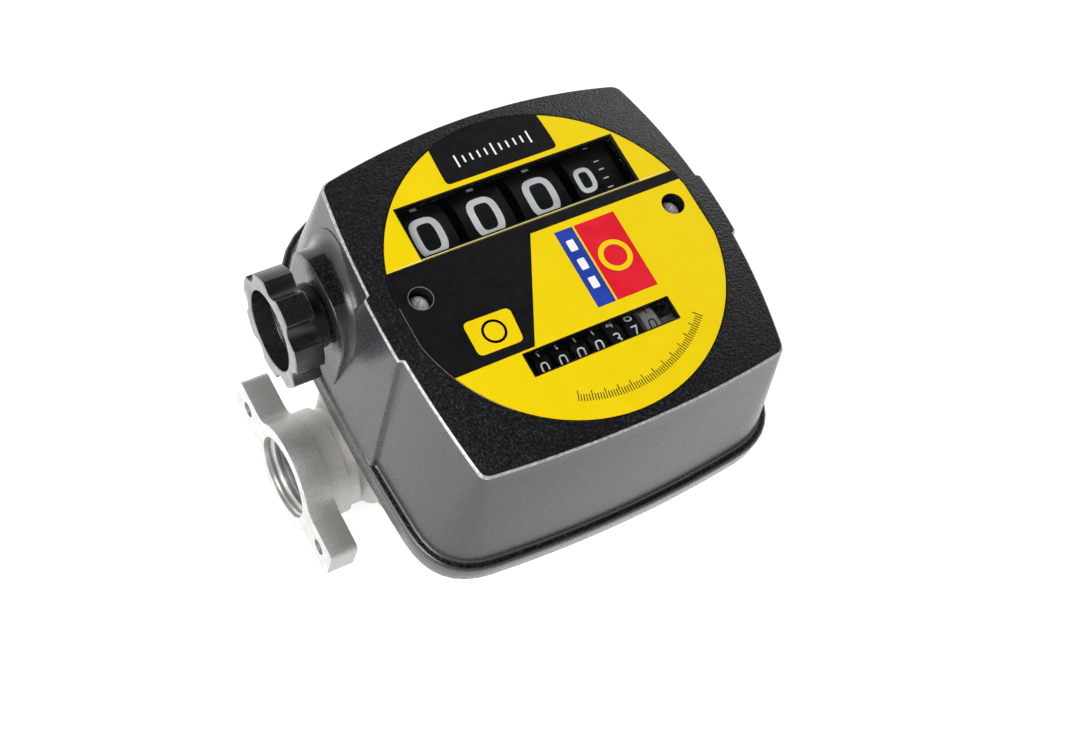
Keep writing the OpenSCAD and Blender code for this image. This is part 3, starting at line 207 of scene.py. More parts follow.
def block(low, high):
    """Plain box, used only as a cutting tool."""
    bm = bmesh.new()
    bmesh.ops.create_cube(bm, size=1)
    size = Vector(high) - Vector(low)
    middle = (Vector(high) + Vector(low)) / 2
    for v in bm.verts:
        v.co = Vector(v.co[i] * size[i] for i in range(3)) + middle
    return mesh_from(bm, "block")


def bar(radius, low, high, centre, steps, along_x=False):
    """Round bar along Z or X."""
    profile = [(0, low), (radius, low), (radius, high), (0, high)]
    return lathe(profile, "bar", steps, centre, along_x)


def arc(centre, radius, start, end, steps):
    """Points of a circular arc, angles in degrees."""
    points = []
    for k in range(steps + 1):
        a = math.radians(start + (end - start) * k / steps)
        points.append((centre[0] + radius * math.cos(a), centre[1] + radius * math.sin(a)))
    return points


# In degrees: edges of a CAD node that turn by more than the first are rounded, and faces that
# turn by less than the second are joined
ROUND_ANGLE = 30
FLAT_ANGLE = 1


def cleaned_copy(node):
    """Mesh of a CAD node, welded, with its flat faces in one piece each."""
    bm = bmesh.new()
    bm.from_mesh(NODES[node].data)
    bmesh.ops.remove_doubles(bm, verts=bm.verts, dist=CAD_WELD)
    bmesh.ops.dissolve_limit(bm, angle_limit=math.radians(FLAT_ANGLE), verts=bm.verts, edges=bm.edges,
                             delimit={"NORMAL"})
    mesh = bpy.data.meshes.new(node)
    bm.to_mesh(mesh)
    bm.free()
    return mesh


def softened(node, width, segments, materials):
    """Copy of a CAD node with its edges rounded, which stands for the node."""
    obj = link("tool", cleaned_copy(node))
    mod = obj.modifiers.new("round", "BEVEL")
    mod.width = width
    mod.segments = segments
    mod.limit_method = "ANGLE"
    mod.angle_limit = math.radians(ROUND_ANGLE)
    mod.use_clamp_overlap = True
    result = applied(obj, node + "_shape")
    smooth(result)
    piece = add_object(node + "_finish", result, NODES[node]["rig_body"], materials)
    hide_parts(node)
    return piece


# Materials

class Finish:
    """A procedural material: a Principled shader, with inputs set by name and fed by noise."""

    def __init__(self, name, **inputs):
        self.material = bpy.data.materials.new(name)
        self.material.use_nodes = True
        self.tree = self.material.node_tree
        self.shader = self.tree.nodes["Principled BSDF"]
        self.fill(self.shader, inputs)
        self.coords = self.node("TexCoord").outputs["Object"]
        self.normal = None

    def put(self, socket, value):
        """Feeds a socket from another one, or sets it to a plain value."""
        if isinstance(value, bpy.types.NodeSocket):
            self.tree.links.new(value, socket)
        else:
            socket.default_value = value

    def fill(self, node, inputs):
        for key, value in inputs.items():
            self.put(node.inputs[key.replace("_", " ")], value)

    def node(self, kind, **inputs):
        node = self.tree.nodes.new("ShaderNode" + kind)
        self.fill(node, inputs)
        return node

    def noise(self, grain, detail):
        """Noise with blobs about grain millimetres across."""
        return self.node("TexNoise", Scale=1 / (grain * MM), Detail=detail, Roughness=0.5,
                         Vector=self.coords).outputs["Fac"]

    def ramp(self, value, low, high, start=0.35, end=0.65):
        """A value or colour that goes from low to high as the noise goes from start to end."""
        node = self.node("MapRange", Value=value, From_Min=start, From_Max=end)
        if not isinstance(low, tuple):
            self.fill(node, {"To_Min": low, "To_Max": high})
            return node.outputs["Result"]
        mix = self.node("Mix")
        mix.data_type = "RGBA"
        self.put(mix.inputs[0], node.outputs["Result"])
        mix.inputs[6].default_value = (*low, 1)
        mix.inputs[7].default_value = (*high, 1)
        return mix.outputs[2]

    def maths(self, operation, a, b):
        node = self.node("Math")
        node.operation = operation
        self.put(node.inputs[0], a)
        self.put(node.inputs[1], b)
        return node.outputs[0]

    def bump(self, grain, detail, depth):
        """Adds a bump of a real depth in millimetres, on top of any added before."""
        node = self.node("Bump", Strength=1.0, Distance=depth * MM, Height=self.noise(grain, detail))
        if self.normal:
            self.put(node.inputs["Normal"], self.normal)
        self.normal = node.outputs["Normal"]
        self.put(self.shader.inputs["Normal"], self.normal)


def finish(name, low, high, rough, colour_noise, gloss_noise, bumps, span=(0.35, 0.65), **inputs):
    """Material between two colours and two roughnesses. A noise is (grain, detail) and a bump is
    (grain, detail, depth), in millimetres; span is the part of the noise that changes the colour."""
    f = Finish(name, Base_Color=(*low, 1), Roughness=rough[0], **inputs)
    colour = f.ramp(f.noise(*colour_noise), low, high, *span)
    gloss = f.ramp(f.noise(*gloss_noise), *rough)
    f.fill(f.shader, {"Base_Color": colour, "Roughness": gloss})
    for bump in bumps:
        f.bump(*bump)
    return f.material


# Families of finishes, with grain and depth in millimetres

def plain_metal(name, low, high, rough, grain=1.2, metal=1.0):
    return finish(name, low, high, rough, (grain * 4, 3), (grain, 3), [(grain / 3, 2, 0.008)],
                  Metallic=metal)


def moulded(name, low, high, rough, grain=0.5, depth=0.03, specular=0.5):
    return finish(name, low, high, rough, (grain * 8, 3), (grain * 2, 2), [(grain, 2, depth)],
                  Specular_IOR_Level=specular)


def ink(name, low, high, rough):
    return finish(name, low, high, (rough - 0.04, rough + 0.04), (9, 3), (3, 2), [(0.3, 1, 0.0008)],
                  Specular_IOR_Level=0.15)


def clear_window():
    f = Finish("window", Base_Color=(1, 1, 1, 1), Transmission_Weight=1.0, IOR=1.3)
    f.fill(f.shader, {"Roughness": f.ramp(f.noise(3, 2), 0.01, 0.05)})
    f.bump(25, 1, 0.01)
    return f.material


# Coarse sparkling coat of the domed face and the rim's ledge
POWDER = finish("powder_coat", (0.003, 0.003, 0.004), (0.03, 0.031, 0.034), (0.28, 0.5),
                (0.8, 3), (0.8, 2), [(0.9, 3, 0.42)], span=(0.52, 0.74), Specular_IOR_Level=0.17)
# The same coat on the side walls, where it lies smoother and shines more
SMOOTH_COAT = finish("smooth_coat", (0.022, 0.023, 0.025), (0.034, 0.035, 0.038), (0.24, 0.36),
                     (0.4, 2), (0.8, 2), [(12, 2, 0.08), (0.5, 2, 0.02)], span=(0.4, 0.7),
                     Coat_Weight=0.15, Coat_Roughness=0.2)
# The coat on the face's edges, painted paler as a painted highlight, and with more shine
EDGE_HIGHLIGHT = finish("edge_highlight", (0.2, 0.202, 0.206), (0.42, 0.422, 0.428), (0.22, 0.38),
                   (1.5, 3), (0.8, 2), [(0.5, 2, 0.02)], Specular_IOR_Level=0.8,
                   Coat_Weight=0.6, Coat_Roughness=0.22)
# Aluminium of the body: rough as cast, and bright where it is machined
CAST = finish("cast_metal", (0.4, 0.392, 0.376), (0.47, 0.462, 0.446), (0.45, 0.62),
              (0.7, 3), (0.6, 3), [(2.5, 2, 0.04), (0.4, 3, 0.13)], Metallic=1.0)
MACHINED = finish("machined_metal", (0.5, 0.495, 0.48), (0.6, 0.595, 0.58), (0.36, 0.5),
                  (6, 3), (0.8, 3), [(0.25, 2, 0.01)], Metallic=1.0)
ZINC = plain_metal("zinc", (0.74, 0.75, 0.73), (0.86, 0.87, 0.85), (0.34, 0.48), metal=0.3)
STEEL = plain_metal("steel", (0.56, 0.56, 0.56), (0.66, 0.66, 0.66), (0.22, 0.34))
FRAME_STEEL = plain_metal("frame_steel", (0.5, 0.5, 0.49), (0.62, 0.62, 0.6), (0.3, 0.45), grain=2)
STRAINER = plain_metal("strainer", (0.45, 0.45, 0.45), (0.56, 0.56, 0.56), (0.3, 0.45))
BRASS = plain_metal("brass", (0.72, 0.5, 0.2), (0.82, 0.62, 0.3), (0.22, 0.36))
RUBBER = moulded("rubber", (0.014, 0.014, 0.014), (0.024, 0.024, 0.024), (0.55, 0.72))
GASKET = moulded("gasket", (0.03, 0.03, 0.03), (0.06, 0.058, 0.055), (0.7, 0.85),
                 grain=0.3, depth=0.06)
KNOB_BLACK = moulded("knob_black", (0.005, 0.005, 0.006), (0.009, 0.009, 0.01), (0.24, 0.34),
                     grain=0.35, depth=0.015, specular=0.6)
# Painted highlight: grey for the knob's front edge
KNOB_HIGHLIGHT = moulded("knob_highlight", (0.11, 0.11, 0.111), (0.2, 0.2, 0.202), (0.3, 0.45),
                   grain=0.6, depth=0.02)
CHAMBER = moulded("chamber_resin", (0.62, 0.58, 0.46), (0.72, 0.69, 0.58), (0.4, 0.55))
DISC = moulded("disc_resin", (0.03, 0.032, 0.036), (0.06, 0.062, 0.066), (0.35, 0.5))
GEAR = moulded("gear_resin", (0.72, 0.69, 0.6), (0.8, 0.78, 0.71), (0.35, 0.5),
               grain=0.3, depth=0.01)
PINION = moulded("pinion_resin", (0.76, 0.76, 0.74), (0.84, 0.84, 0.82), (0.35, 0.5),
                 grain=0.3, depth=0.01)
WHEEL_BLACK = moulded("wheel_black", (0.005, 0.005, 0.006), (0.009, 0.009, 0.01), (0.4, 0.55),
                      grain=0.25, depth=0.008, specular=0.2)
WHEEL_GREY = moulded("wheel_grey", (0.26, 0.26, 0.26), (0.33, 0.33, 0.32), (0.4, 0.55),
                     grain=0.25, depth=0.008)
DIGIT = ink("digit_ink", (0.7, 0.72, 0.74), (0.82, 0.84, 0.86), 0.42)
DIGIT_DARK = ink("digit_dark", (0.02, 0.02, 0.02), (0.04, 0.04, 0.04), 0.45)
YELLOW = ink("yellow_ink", (0.76, 0.56, 0.0), (0.78, 0.58, 0.002), 0.36)
BLACK = ink("black_ink", (0.004, 0.004, 0.005), (0.006, 0.006, 0.007), 0.36)
PALE = ink("pale_ink", (0.72, 0.68, 0.3), (0.76, 0.72, 0.34), 0.36)
WHITE = ink("white_ink", (0.78, 0.78, 0.76), (0.84, 0.84, 0.82), 0.36)
RED = ink("red_ink", (0.62, 0.008, 0.02), (0.68, 0.014, 0.03), 0.34)
BLUE = ink("blue_ink", (0.012, 0.04, 0.3), (0.018, 0.05, 0.36), 0.34)
WINDOW = clear_window()

SLOT_MATERIALS = {
    "cast_aluminium": CAST, "black_paint": POWDER, "zinc_steel": ZINC, "black_rubber": RUBBER,
    "gasket_fibre": GASKET, "strainer_steel": STRAINER, "chamber_resin": CHAMBER,
    "disc_resin": DISC, "brass": BRASS, "dial_print": YELLOW, "clear_window": WINDOW,
    "black_nylon": KNOB_BLACK, "frame_steel": FRAME_STEEL, "shaft_steel": STEEL,
    "gear_acetal": GEAR, "wheel_black": WHEEL_BLACK, "wheel_grey": WHEEL_GREY,
    "pinion_white": PINION,
}


def dress_cad_nodes():
    """Every CAD node takes the procedural material of its slot."""
    for part in frame["record"]["subparts"]:
        obj = NODES[part["node"]]
        mat = SLOT_MATERIALS[part["material_slot"]]
        if not obj.material_slots:
            obj.data.materials.append(mat)
        for place in obj.material_slots:
            place.material = mat


# Front cover: the same outline rules as the construction, with finer rounding

# Walls: thickness of the sides and of the front
COVER_T = 3.0 * MM
FRONT_T = 2.2 * MM
# Rim: half sizes, its shift to the left, height, ledge, round edges and fillet at the wall's foot
RIM_HX = 78.4 * MM
RIM_HY = 80.4 * MM
RIM_SHIFT = 1.8 * MM
RIM_H = 10 * MM
RIM_STEP = 3.2 * MM
RIM_R = 1.6 * MM
FOOT_R = 1.2 * MM
# Face: half sizes, radius of its dome and of its edge
FACE_HX = 68.7 * MM
FACE_HY = 66.6 * MM
DOME_R = 350 * MM
EDGE_R = 1.0 * MM
# Corners, and how much the middle of each side bulges out, along X and along Y
CORNER_TOP_R = 37 * MM
CORNER_BOTTOM_R = 21 * MM
FACE_CORNER_R = 3 * MM
RIM_BULGE = (3.6 * MM, 5.3 * MM)
FACE_BULGE = (6.1 * MM, 5.2 * MM)
# Raised band on the left and right: its rise, its half width at the face and the rim, its slope
BAND_RISE = 1.7 * MM
BAND_FACE = 12.4 * MM
BAND_RIM = 25 * MM
BAND_SLOPE = 1.3 * MM
# Dial: radius, half width over its two flats, and play in its seat
DIAL_R = 62 * MM
DIAL_FLAT = 61.1 * MM
DIAL_PLAY = 0.2 * MM
# How far inside the dial's outline the cover's skin closes
SKIN_INSET = 1 * MM
# Windows of the register and the totaliser as (width, height, Y of the middle), their panes'
# thickness and the ledge that those lie on
WINDOWS = [(89 * MM, 20.2 * MM, WHEEL.y), (59 * MM, 8.5 * MM, TOTAL.y)]
PANE_T = 1.1 * MM
PANE_LIP = 1.5 * MM
# Cover screws: their places, the wells for their heads, the wall round a well and the post below
SCREW_X = 52.3 * MM
SCREW_Y = 5.1 * MM
SCREWS = [(-SCREW_X, SCREW_Y, 0), (SCREW_X, SCREW_Y, 0)]
WELL_R = 4.4 * MM
WELL_DEEP = 6.5 * MM
WELL_WALL_R = 5.9 * MM
WELL_WALL_LOW = DIAL_Z - 8 * MM
POST_R = 4 * MM
POST_TOP = SEAT_Z - 0.2 * MM
SCREW_HOLE_R = 2.1 * MM

# Points of an outline: along part of a side, on a band's slope, round a corner, round the dial
SIDE_STEPS = 12
SLOPE_STEPS = 5
CORNER_STEPS = 7
DIAL_STEPS = 180
# Rings of the cover's skin: on a round edge of the rim, up the wall, on the face's edge, over it
RIM_STEPS = 4
WALL_STEPS = 10
EDGE_STEPS = 6
FACE_STEPS = 8


def step01(t):
    """Smooth step from 0 to 1."""
    t = min(1, max(0, t))
    return t * t * (3 - 2 * t)


def blend2(a, b, t):
    """Point between two points."""
    return (a[0] + (b[0] - a[0]) * t, a[1] + (b[1] - a[1]) * t)


def quadratic(a, b, c, t):
    """Point of the curve from a to c that heads for b."""
    return blend2(blend2(a, b, t), blend2(b, c, t), t)


def side_marks(bottom, band, slope, top):
    """Places up a side, as shares of its half height, with more of them on the band's slopes."""
    end = band + slope
    marks = [-bottom - (end - bottom) * k / SIDE_STEPS for k in range(SIDE_STEPS)]
    marks += [-band - slope + slope * k / SLOPE_STEPS for k in range(SLOPE_STEPS)]
    marks += [-band + 2 * band * k / SIDE_STEPS for k in range(SIDE_STEPS)]
    marks += [band + slope * k / SLOPE_STEPS for k in range(SLOPE_STEPS)]
    marks += [end + (top - band - slope) * k / SIDE_STEPS for k in range(SIDE_STEPS + 1)]
    return marks


def across(share):
    """Places along the top or bottom, as shares of its half width."""
    count = 2 * SIDE_STEPS
    return [share * (2 * k / count - 1) for k in range(count + 1)]


def corner_points(a, b, c):
    """Points between a and c on a corner's curve."""
    return [quadratic(a, b, c, k / (CORNER_STEPS + 1)) for k in range(1, CORNER_STEPS + 1)]


def cover_ring(half, bulge, corner_top, corner_bottom, band, rise):
    """Outline with bulging sides, round corners and a raised band on its left and right."""
    (hx, hy), (bx, by) = half, bulge
    cx, cy = hx - bx, hy - by
    b, e = band / cy, BAND_SLOPE / cy
    marks = side_marks(1 - corner_bottom / cy, b, e, 1 - corner_top / cy)
    side = [(hx - bx * v * v + rise * step01((b + e - abs(v)) / e), cy * v) for v in marks]
    left = [(-x, y) for x, y in reversed(side)]
    upper = [(-cx * u, hy - by * u * u) for u in across(1 - corner_top / cx)]
    lower = [(cx * u, -hy + by * u * u) for u in across(1 - corner_bottom / cx)]
    return (side + corner_points(side[-1], (cx, cy), upper[0])
            + upper + corner_points(upper[-1], (-cx, cy), left[0])
            + left + corner_points(left[-1], (-cx, -cy), lower[0])
            + lower + corner_points(lower[-1], (cx, -cy), side[0]))


def rim_ring(inset, rise):
    """Outline of the rim, moved in by an inset."""
    ring = cover_ring((RIM_HX - inset, RIM_HY - inset), RIM_BULGE, CORNER_TOP_R - inset,
                      CORNER_BOTTOM_R - inset, BAND_RIM, rise)
    return [(x - RIM_SHIFT, y) for x, y in ring]


def face_ring(inset, rise):
    """Outline of the face, moved in by an inset."""
    return cover_ring((FACE_HX - inset, FACE_HY - inset), FACE_BULGE, FACE_CORNER_R,
                      FACE_CORNER_R, BAND_FACE, rise)


def dome(x, y, drop):
    """Height of the face at a place, or of a surface that lies below it by a drop."""
    r = math.hypot(x, y)
    if r < DIAL_R:
        return DIAL_Z - drop
    fall = math.sqrt(DOME_R ** 2 - DIAL_R ** 2) - math.sqrt(DOME_R ** 2 - r * r)
    return DIAL_Z - drop - fall


def level(ring, z):
    """Flat outline laid at a height."""
    return [(x, y, z) for x, y in ring]


def domed(ring, drop):
    """Flat outline laid on the dome."""
    return [(x, y, dome(x, y, drop)) for x, y in ring]


def between(low, high, t):
    """Ring between two rings."""
    return [tuple(a + (b - a) * t for a, b in zip(p, q)) for p, q in zip(low, high)]


def towards_circle(ring, radius, flat=math.inf):
    """Points of a circle with two flats, each in the direction of a point of a ring."""
    points = []
    for x, y in ring:
        a = math.atan2(y, x)
        points.append((max(-flat, min(flat, radius * math.cos(a))), radius * math.sin(a)))
    return points


def cover_skin():
    """Outer form of the front cover, from the rim's foot to the middle of the face."""
    top = RIM_Z + RIM_H
    rings = []
    for inset, z in arc((RIM_R, RIM_Z + RIM_R), RIM_R, 270, 180, RIM_STEPS):
        rings.append(level(rim_ring(inset, 0), z))
    for inset, z in arc((RIM_R, top - RIM_R), RIM_R, 180, 90, RIM_STEPS):
        rings.append(level(rim_ring(inset, 0), z))
    for inset, z in arc((RIM_STEP - FOOT_R, top + FOOT_R), FOOT_R, 270, 360, RIM_STEPS)[1:]:
        rings.append(level(rim_ring(inset, BAND_RISE), z))
    base = rings[-1]
    edge = domed(face_ring(0, BAND_RISE), EDGE_R)
    rings += [between(base, edge, k / WALL_STEPS) for k in range(1, WALL_STEPS)]
    for k in range(EDGE_STEPS + 1):
        a = math.radians(90 * k / EDGE_STEPS)
        ring = face_ring(EDGE_R * (1 - math.cos(a)), BAND_RISE)
        rings.append(domed(ring, EDGE_R * (1 - math.sin(a))))
    inner = [(x, y) for x, y, z in rings[-1]]
    seat = towards_circle(inner, DIAL_R - SKIN_INSET, DIAL_FLAT - SKIN_INSET)
    for k in range(1, FACE_STEPS + 1):
        rings.append(domed([blend2(p, q, k / FACE_STEPS) for p, q in zip(inner, seat)], 0))
    return loft(rings, "cover_skin")


# How far the hollow's upper edge lies under the face, as a share of the wall's thickness
HOLLOW_DROP = 1.8
# Rings of the hollow up the wall
HOLLOW_STEPS = 4


def cover_hollow():
    """Space inside the front cover."""
    base = rim_ring(RIM_STEP + COVER_T, 0)
    low = level(base, RIM_Z + RIM_H)
    top = domed(face_ring(COVER_T, 0), COVER_T * HOLLOW_DROP)
    seat = towards_circle([(x, y) for x, y, z in top], DIAL_R - COVER_T)
    rings = [level(base, RIM_Z - CUT_OVER), low]
    rings += [between(low, top, k / HOLLOW_STEPS) for k in range(1, HOLLOW_STEPS + 1)]
    rings.append(level(seat, SEAT_Z - FRONT_T))
    return loft(rings, "cover_hollow")


# Boss of the knob: its reach from the knob's axis to the dial's lower and upper side
BOSS_LOW = 18.6 * MM
BOSS_HIGH = 22.8 * MM
# Radii of its two corners, distance of its face from the middle, and height of its top
BOSS_LOW_R = 18 * MM
BOSS_HIGH_R = 13.5 * MM
BOSS_FACE = 78.2 * MM
BOSS_TOP = 122 * MM
# Its round edge, the fillet at its root, and how deep fillet and root reach into the wall
BOSS_EDGE = 0.8 * MM
BOSS_FILLET = 5 * MM
BOSS_SINK = 0.4 * MM
BOSS_ROOT = 2 * MM
# Hole for the knob's shaft
KNOB_HOLE_R = 5.45 * MM
KNOB_HOLE_DEEP = 14 * MM
# Points up a side and round a corner of the arch, rings of the fillet and of the edge
ARCH_STEPS = 12
ARCH_CORNER_STEPS = 14
FILLET_STEPS = 10
BOSS_EDGE_STEPS = 4


def wall_x(y, z):
    """Half width of the cover's side wall at a place, without its band."""
    t = (z - RIM_Z - RIM_H) / (SEAT_Z - RIM_Z - RIM_H)
    low, high = RIM_HY - RIM_BULGE[1], FACE_HY - FACE_BULGE[1]
    v = y / (low + (high - low) * t)
    foot = RIM_HX + RIM_SHIFT - RIM_STEP
    half = foot + (FACE_HX - foot) * t
    return half - (RIM_BULGE[0] + (FACE_BULGE[0] - RIM_BULGE[0]) * t) * v * v


def boss_outline(grow):
    """Arch in Y and Z: up its low side, round the two corners and down."""
    low_y = KNOB.y - BOSS_LOW
    high_y = KNOB.y + BOSS_HIGH
    low_z = BOSS_TOP - BOSS_LOW_R
    high_z = BOSS_TOP - BOSS_HIGH_R
    up = [(low_y - grow, RIM_Z + (low_z - RIM_Z) * k / ARCH_STEPS) for k in range(ARCH_STEPS)]
    first = arc((low_y + BOSS_LOW_R, low_z), BOSS_LOW_R + grow, 180, 90, ARCH_CORNER_STEPS)
    second = arc((high_y - BOSS_HIGH_R, high_z), BOSS_HIGH_R + grow, 90, 0, ARCH_CORNER_STEPS)
    down = [(high_y + grow, high_z + (RIM_Z - high_z) * k / ARCH_STEPS) for k in range(1, ARCH_STEPS + 1)]
    return up + first + second + down


def on_wall(grow, rise):
    """The arch laid at a height above the side wall, lower where the boss itself is low."""
    ring = []
    for y, z in boss_outline(grow):
        x = min(wall_x(y, z), BOSS_FACE - BOSS_EDGE) - BOSS_SINK
        room = (BOSS_FACE - BOSS_EDGE - x) / BOSS_FILLET
        ring.append((-x - min(1, room) * rise, y, z))
    return ring


def knob_boss():
    """Boss on the left wall that carries the knob, with a fillet at its root."""
    rings = [on_wall(BOSS_FILLET, -BOSS_ROOT)]
    for k in range(FILLET_STEPS + 1):
        a = math.radians(90 * k / FILLET_STEPS)
        rings.append(on_wall(BOSS_FILLET * (1 - math.sin(a)), BOSS_FILLET * (1 - math.cos(a))))
    for k in range(BOSS_EDGE_STEPS + 1):
        a = math.radians(90 * k / BOSS_EDGE_STEPS)
        x = -BOSS_FACE + BOSS_EDGE * (1 - math.sin(a))
        rings.append([(x, y, z) for y, z in boss_outline(-BOSS_EDGE * (1 - math.cos(a)))])
    return loft(rings, "boss")


def dial_outline(gap):
    """Round outline with two flats."""
    points = []
    for k in range(DIAL_STEPS):
        a = 2 * math.pi * k / DIAL_STEPS
        x = (DIAL_R + gap) * math.cos(a)
        y = (DIAL_R + gap) * math.sin(a)
        points.append((max(-DIAL_FLAT - gap, min(DIAL_FLAT + gap, x)), y))
    return points


def screw_posts():
    """Wall round each screw's well, and the post below it."""
    posts = []
    for at in SCREWS:
        posts.append(bar(WELL_WALL_R, WELL_WALL_LOW, POST_TOP, at, steps=48))
        posts.append(bar(POST_R, COVER_FOOT_Z, POST_TOP, at, steps=48))
    return posts


def cover_cuts():
    """Seat of the dial, windows with their ledges, wells and holes of the screws, the knob's hole."""
    seat = dial_outline(DIAL_PLAY)
    cuts = [loft([level(seat, SEAT_Z), level(seat, DIAL_Z + CUT_OVER)], "seat")]
    for w, h, y in WINDOWS:
        cuts.append(block((-w / 2, y - h / 2, SEAT_Z - 2 * FRONT_T), (w / 2, y + h / 2, DIAL_Z)))
        cuts.append(block((-w / 2 - PANE_LIP, y - h / 2 - PANE_LIP, SEAT_Z - PANE_T),
                          (w / 2 + PANE_LIP, y + h / 2 + PANE_LIP, DIAL_Z)))
    for at in SCREWS:
        cuts.append(bar(WELL_R, DIAL_Z - WELL_DEEP, DIAL_Z + CUT_OVER, at, steps=64))
        cuts.append(bar(SCREW_HOLE_R, COVER_FOOT_Z - CUT_OVER, DIAL_Z, at, steps=32))
    cuts.append(bar(KNOB_HOLE_R, -BOSS_FACE - CUT_OVER, -BOSS_FACE + KNOB_HOLE_DEEP,
                    (0, KNOB.y, KNOB.z), steps=48, along_x=True))
    return cuts


# Faces of the cover that look up more steeply than this take the coarse coat, and so do the
# wells, down to twice their depth and a little past their radius
POWDER_SLOPE = 0.93
WELL_COAT_R = WELL_R * 1.05
WELL_COAT_LOW = DIAL_Z - 2 * WELL_DEEP
# Painted highlight on the face's edge, a paler coat: how far up it looks at least, and how deep it goes
# down
EDGE_SLOPE = 0.2
EDGE_DEEP = EDGE_R * 1.15
# Edges of the cover that turn by more degrees than this are shaded sharp
COVER_SHARP = 32


def coat_cover(piece):
    """Coarse coat on the face and in the wells, smooth coat on the walls, painted highlight on the edge.
    """
    for face in piece.data.polygons:
        slope = face.normal.z
        x, y, z = face.center
        near_screw = math.hypot(abs(x) - SCREW_X, y - SCREW_Y) < WELL_COAT_R
        in_well = near_screw and z > WELL_COAT_LOW
        face.material_index = 0 if slope > POWDER_SLOPE or in_well else 1
        # Faces on the face's rounded edge take the paler coat, a painted highlight
        if EDGE_SLOPE < slope <= POWDER_SLOPE and z > dome(x, y, EDGE_DEEP):
            face.material_index = 2


def front_cover():
    """Front cover with its boss, made as one shell."""
    body = boolean(cover_skin(), [knob_boss()], "UNION", "cover")
    body = boolean(body, [cover_hollow()], "DIFFERENCE", "cover")
    body = boolean(body, screw_posts(), "UNION", "cover")
    body = boolean(body, cover_cuts(), "DIFFERENCE", "front_cover_shell")
    smooth(body, COVER_SHARP)
    piece = add_object("front_cover_shell", body, "housing",
                       [POWDER, SMOOTH_COAT, EDGE_HIGHLIGHT])
    coat_cover(piece)
    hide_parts("front_cover")


# Dial: a thin base plate with printed fields laid on it, in thin layers

PRINT_T = 0.03 * MM
PLATE_TOP = DIAL_Z - 3 * PRINT_T
FIRST_TOP = PLATE_TOP + PRINT_T
SECOND_TOP = FIRST_TOP + PRINT_T

# Printed fields, in millimetres: left, low, right and upper side
PALE_LINE = (-56, 18.25, 56, 18.55)
REGISTER_FRAME = (-45.2, 18.0, 45.6, 40.2)
TOTAL_FRAME = (-30.1, -36.8, 30.1, -27.2)
RED_PANEL = (12.4, -21.8, 29.3, 10.6)
BLUE_PANEL = (4.2, -21.8, 11.6, 10.6)
TOP_PATCH = (-22.4, 42.2, 23.6, 48)
# Black field: upper side and height on the left, lower side and height of its strip on the
# right, and the steps along each
FIELD_TOP = 17.9
FIELD_HEIGHT = 44.3
FIELD_STEPS = 44
STRIP_LOW = 13.6
STRIP_HEIGHT = 4.3
STRIP_STEPS = 4
# Its slanting right side, and the corners of the small yellow square on it
FIELD_SLANT = [(-24.4, -26.4), (-3.9, 13.6)]
YELLOW_SQUARE = [(-44.1, -22.6), (-26.6, -22.9), (-25.4, -9.4), (-43.9, -9.0)]
# Rings, in millimetres: middle, outer and inner radius
SQUARE_RING = (-34.7, -15.8, 4.6, 3.6)
PANEL_RING = (20.85, -5.6, 6.4, 4.4)
WELL_RING_W = 0.14
# Lowest of the bars on the blue panel, and their spacing
PANEL_BAR = (6.4, -14.6, 9.4, -10)
BAR_SPACING = 8
# Black line round the dial, a painted shade of the seat's gap, and a grey arc beside the black field,
# a painted highlight of the plate's cut edge: where they lie inside the outline, and between which of the
# outline's points
GAP_SHADE_W = 0.35 * MM
GLINT = (0.06 * MM, 0.16 * MM)
GLINT_POINTS = slice(DIAL_STEPS // 2 - 2, DIAL_STEPS // 2 + 24)


def filled(name, outer, holes, low, high, material):
    """Flat plate with holes, from closed outlines."""
    curve = bpy.data.curves.new(name, "CURVE")
    curve.dimensions = "2D"
    curve.fill_mode = "BOTH"
    curve.extrude = (high - low) / 2
    for points in [outer] + holes:
        spline = curve.splines.new("POLY")
        spline.points.add(len(points) - 1)
        for place, (x, y) in zip(spline.points, points):
            place.co = (x, y, 0, 1)
        spline.use_cyclic_u = True
    mesh = applied(link(name, curve), name)
    mesh.transform(Matrix.Translation((0, 0, (high + low) / 2)))
    bm = bmesh.new()
    bm.from_mesh(mesh)
    bmesh.ops.remove_doubles(bm, verts=bm.verts, dist=WELD)
    return add_object(name, mesh_from(bm, name), "housing", [material])


def first_layer(name, outline, holes, material):
    """Field printed straight on the plate."""
    return filled(name, outline, holes, PLATE_TOP, FIRST_TOP, material)


def second_layer(name, outline, holes, material):
    """Field printed on another one."""
    return filled(name, outline, holes, FIRST_TOP, SECOND_TOP, material)


def rounded(points, radius, steps=6):
    """Polygon with its corners rounded; a radius for each corner, or one for all."""
    out = []
    count = len(points)
    radii = radius if isinstance(radius, (list, tuple)) else [radius] * count
    for i, r in enumerate(radii):
        a, b, c = Vector(points[i - 1]), Vector(points[i]), Vector(points[(i + 1) % count])
        if r <= 0:
            out.append((b.x, b.y))
            continue
        to_a, to_c = (a - b).normalized(), (c - b).normalized()
        cut = r / math.tan(max(0.05, to_a.angle(to_c) / 2))
        start, end = b + to_a * cut, b + to_c * cut
        out += [quadratic(start, b, end, k / steps) for k in range(steps + 1)]
    return out


def in_metres(points):
    return [(x * MM, y * MM) for x, y in points]


def rectangle(x0, y0, x1, y1):
    """Rectangle from its sides in millimetres."""
    return in_metres([(x0, y0), (x1, y0), (x1, y1), (x0, y1)])


def opening(w, h, y):
    """Rectangle about X = 0, from its sizes and its middle in metres."""
    return rectangle(-w / 2 / MM, (y - h / 2) / MM, w / 2 / MM, (y + h / 2) / MM)


def circle_points(x, y, r, steps=48):
    return [(x + r * math.cos(2 * math.pi * k / steps), y + r * math.sin(2 * math.pi * k / steps))
            for k in range(steps)]


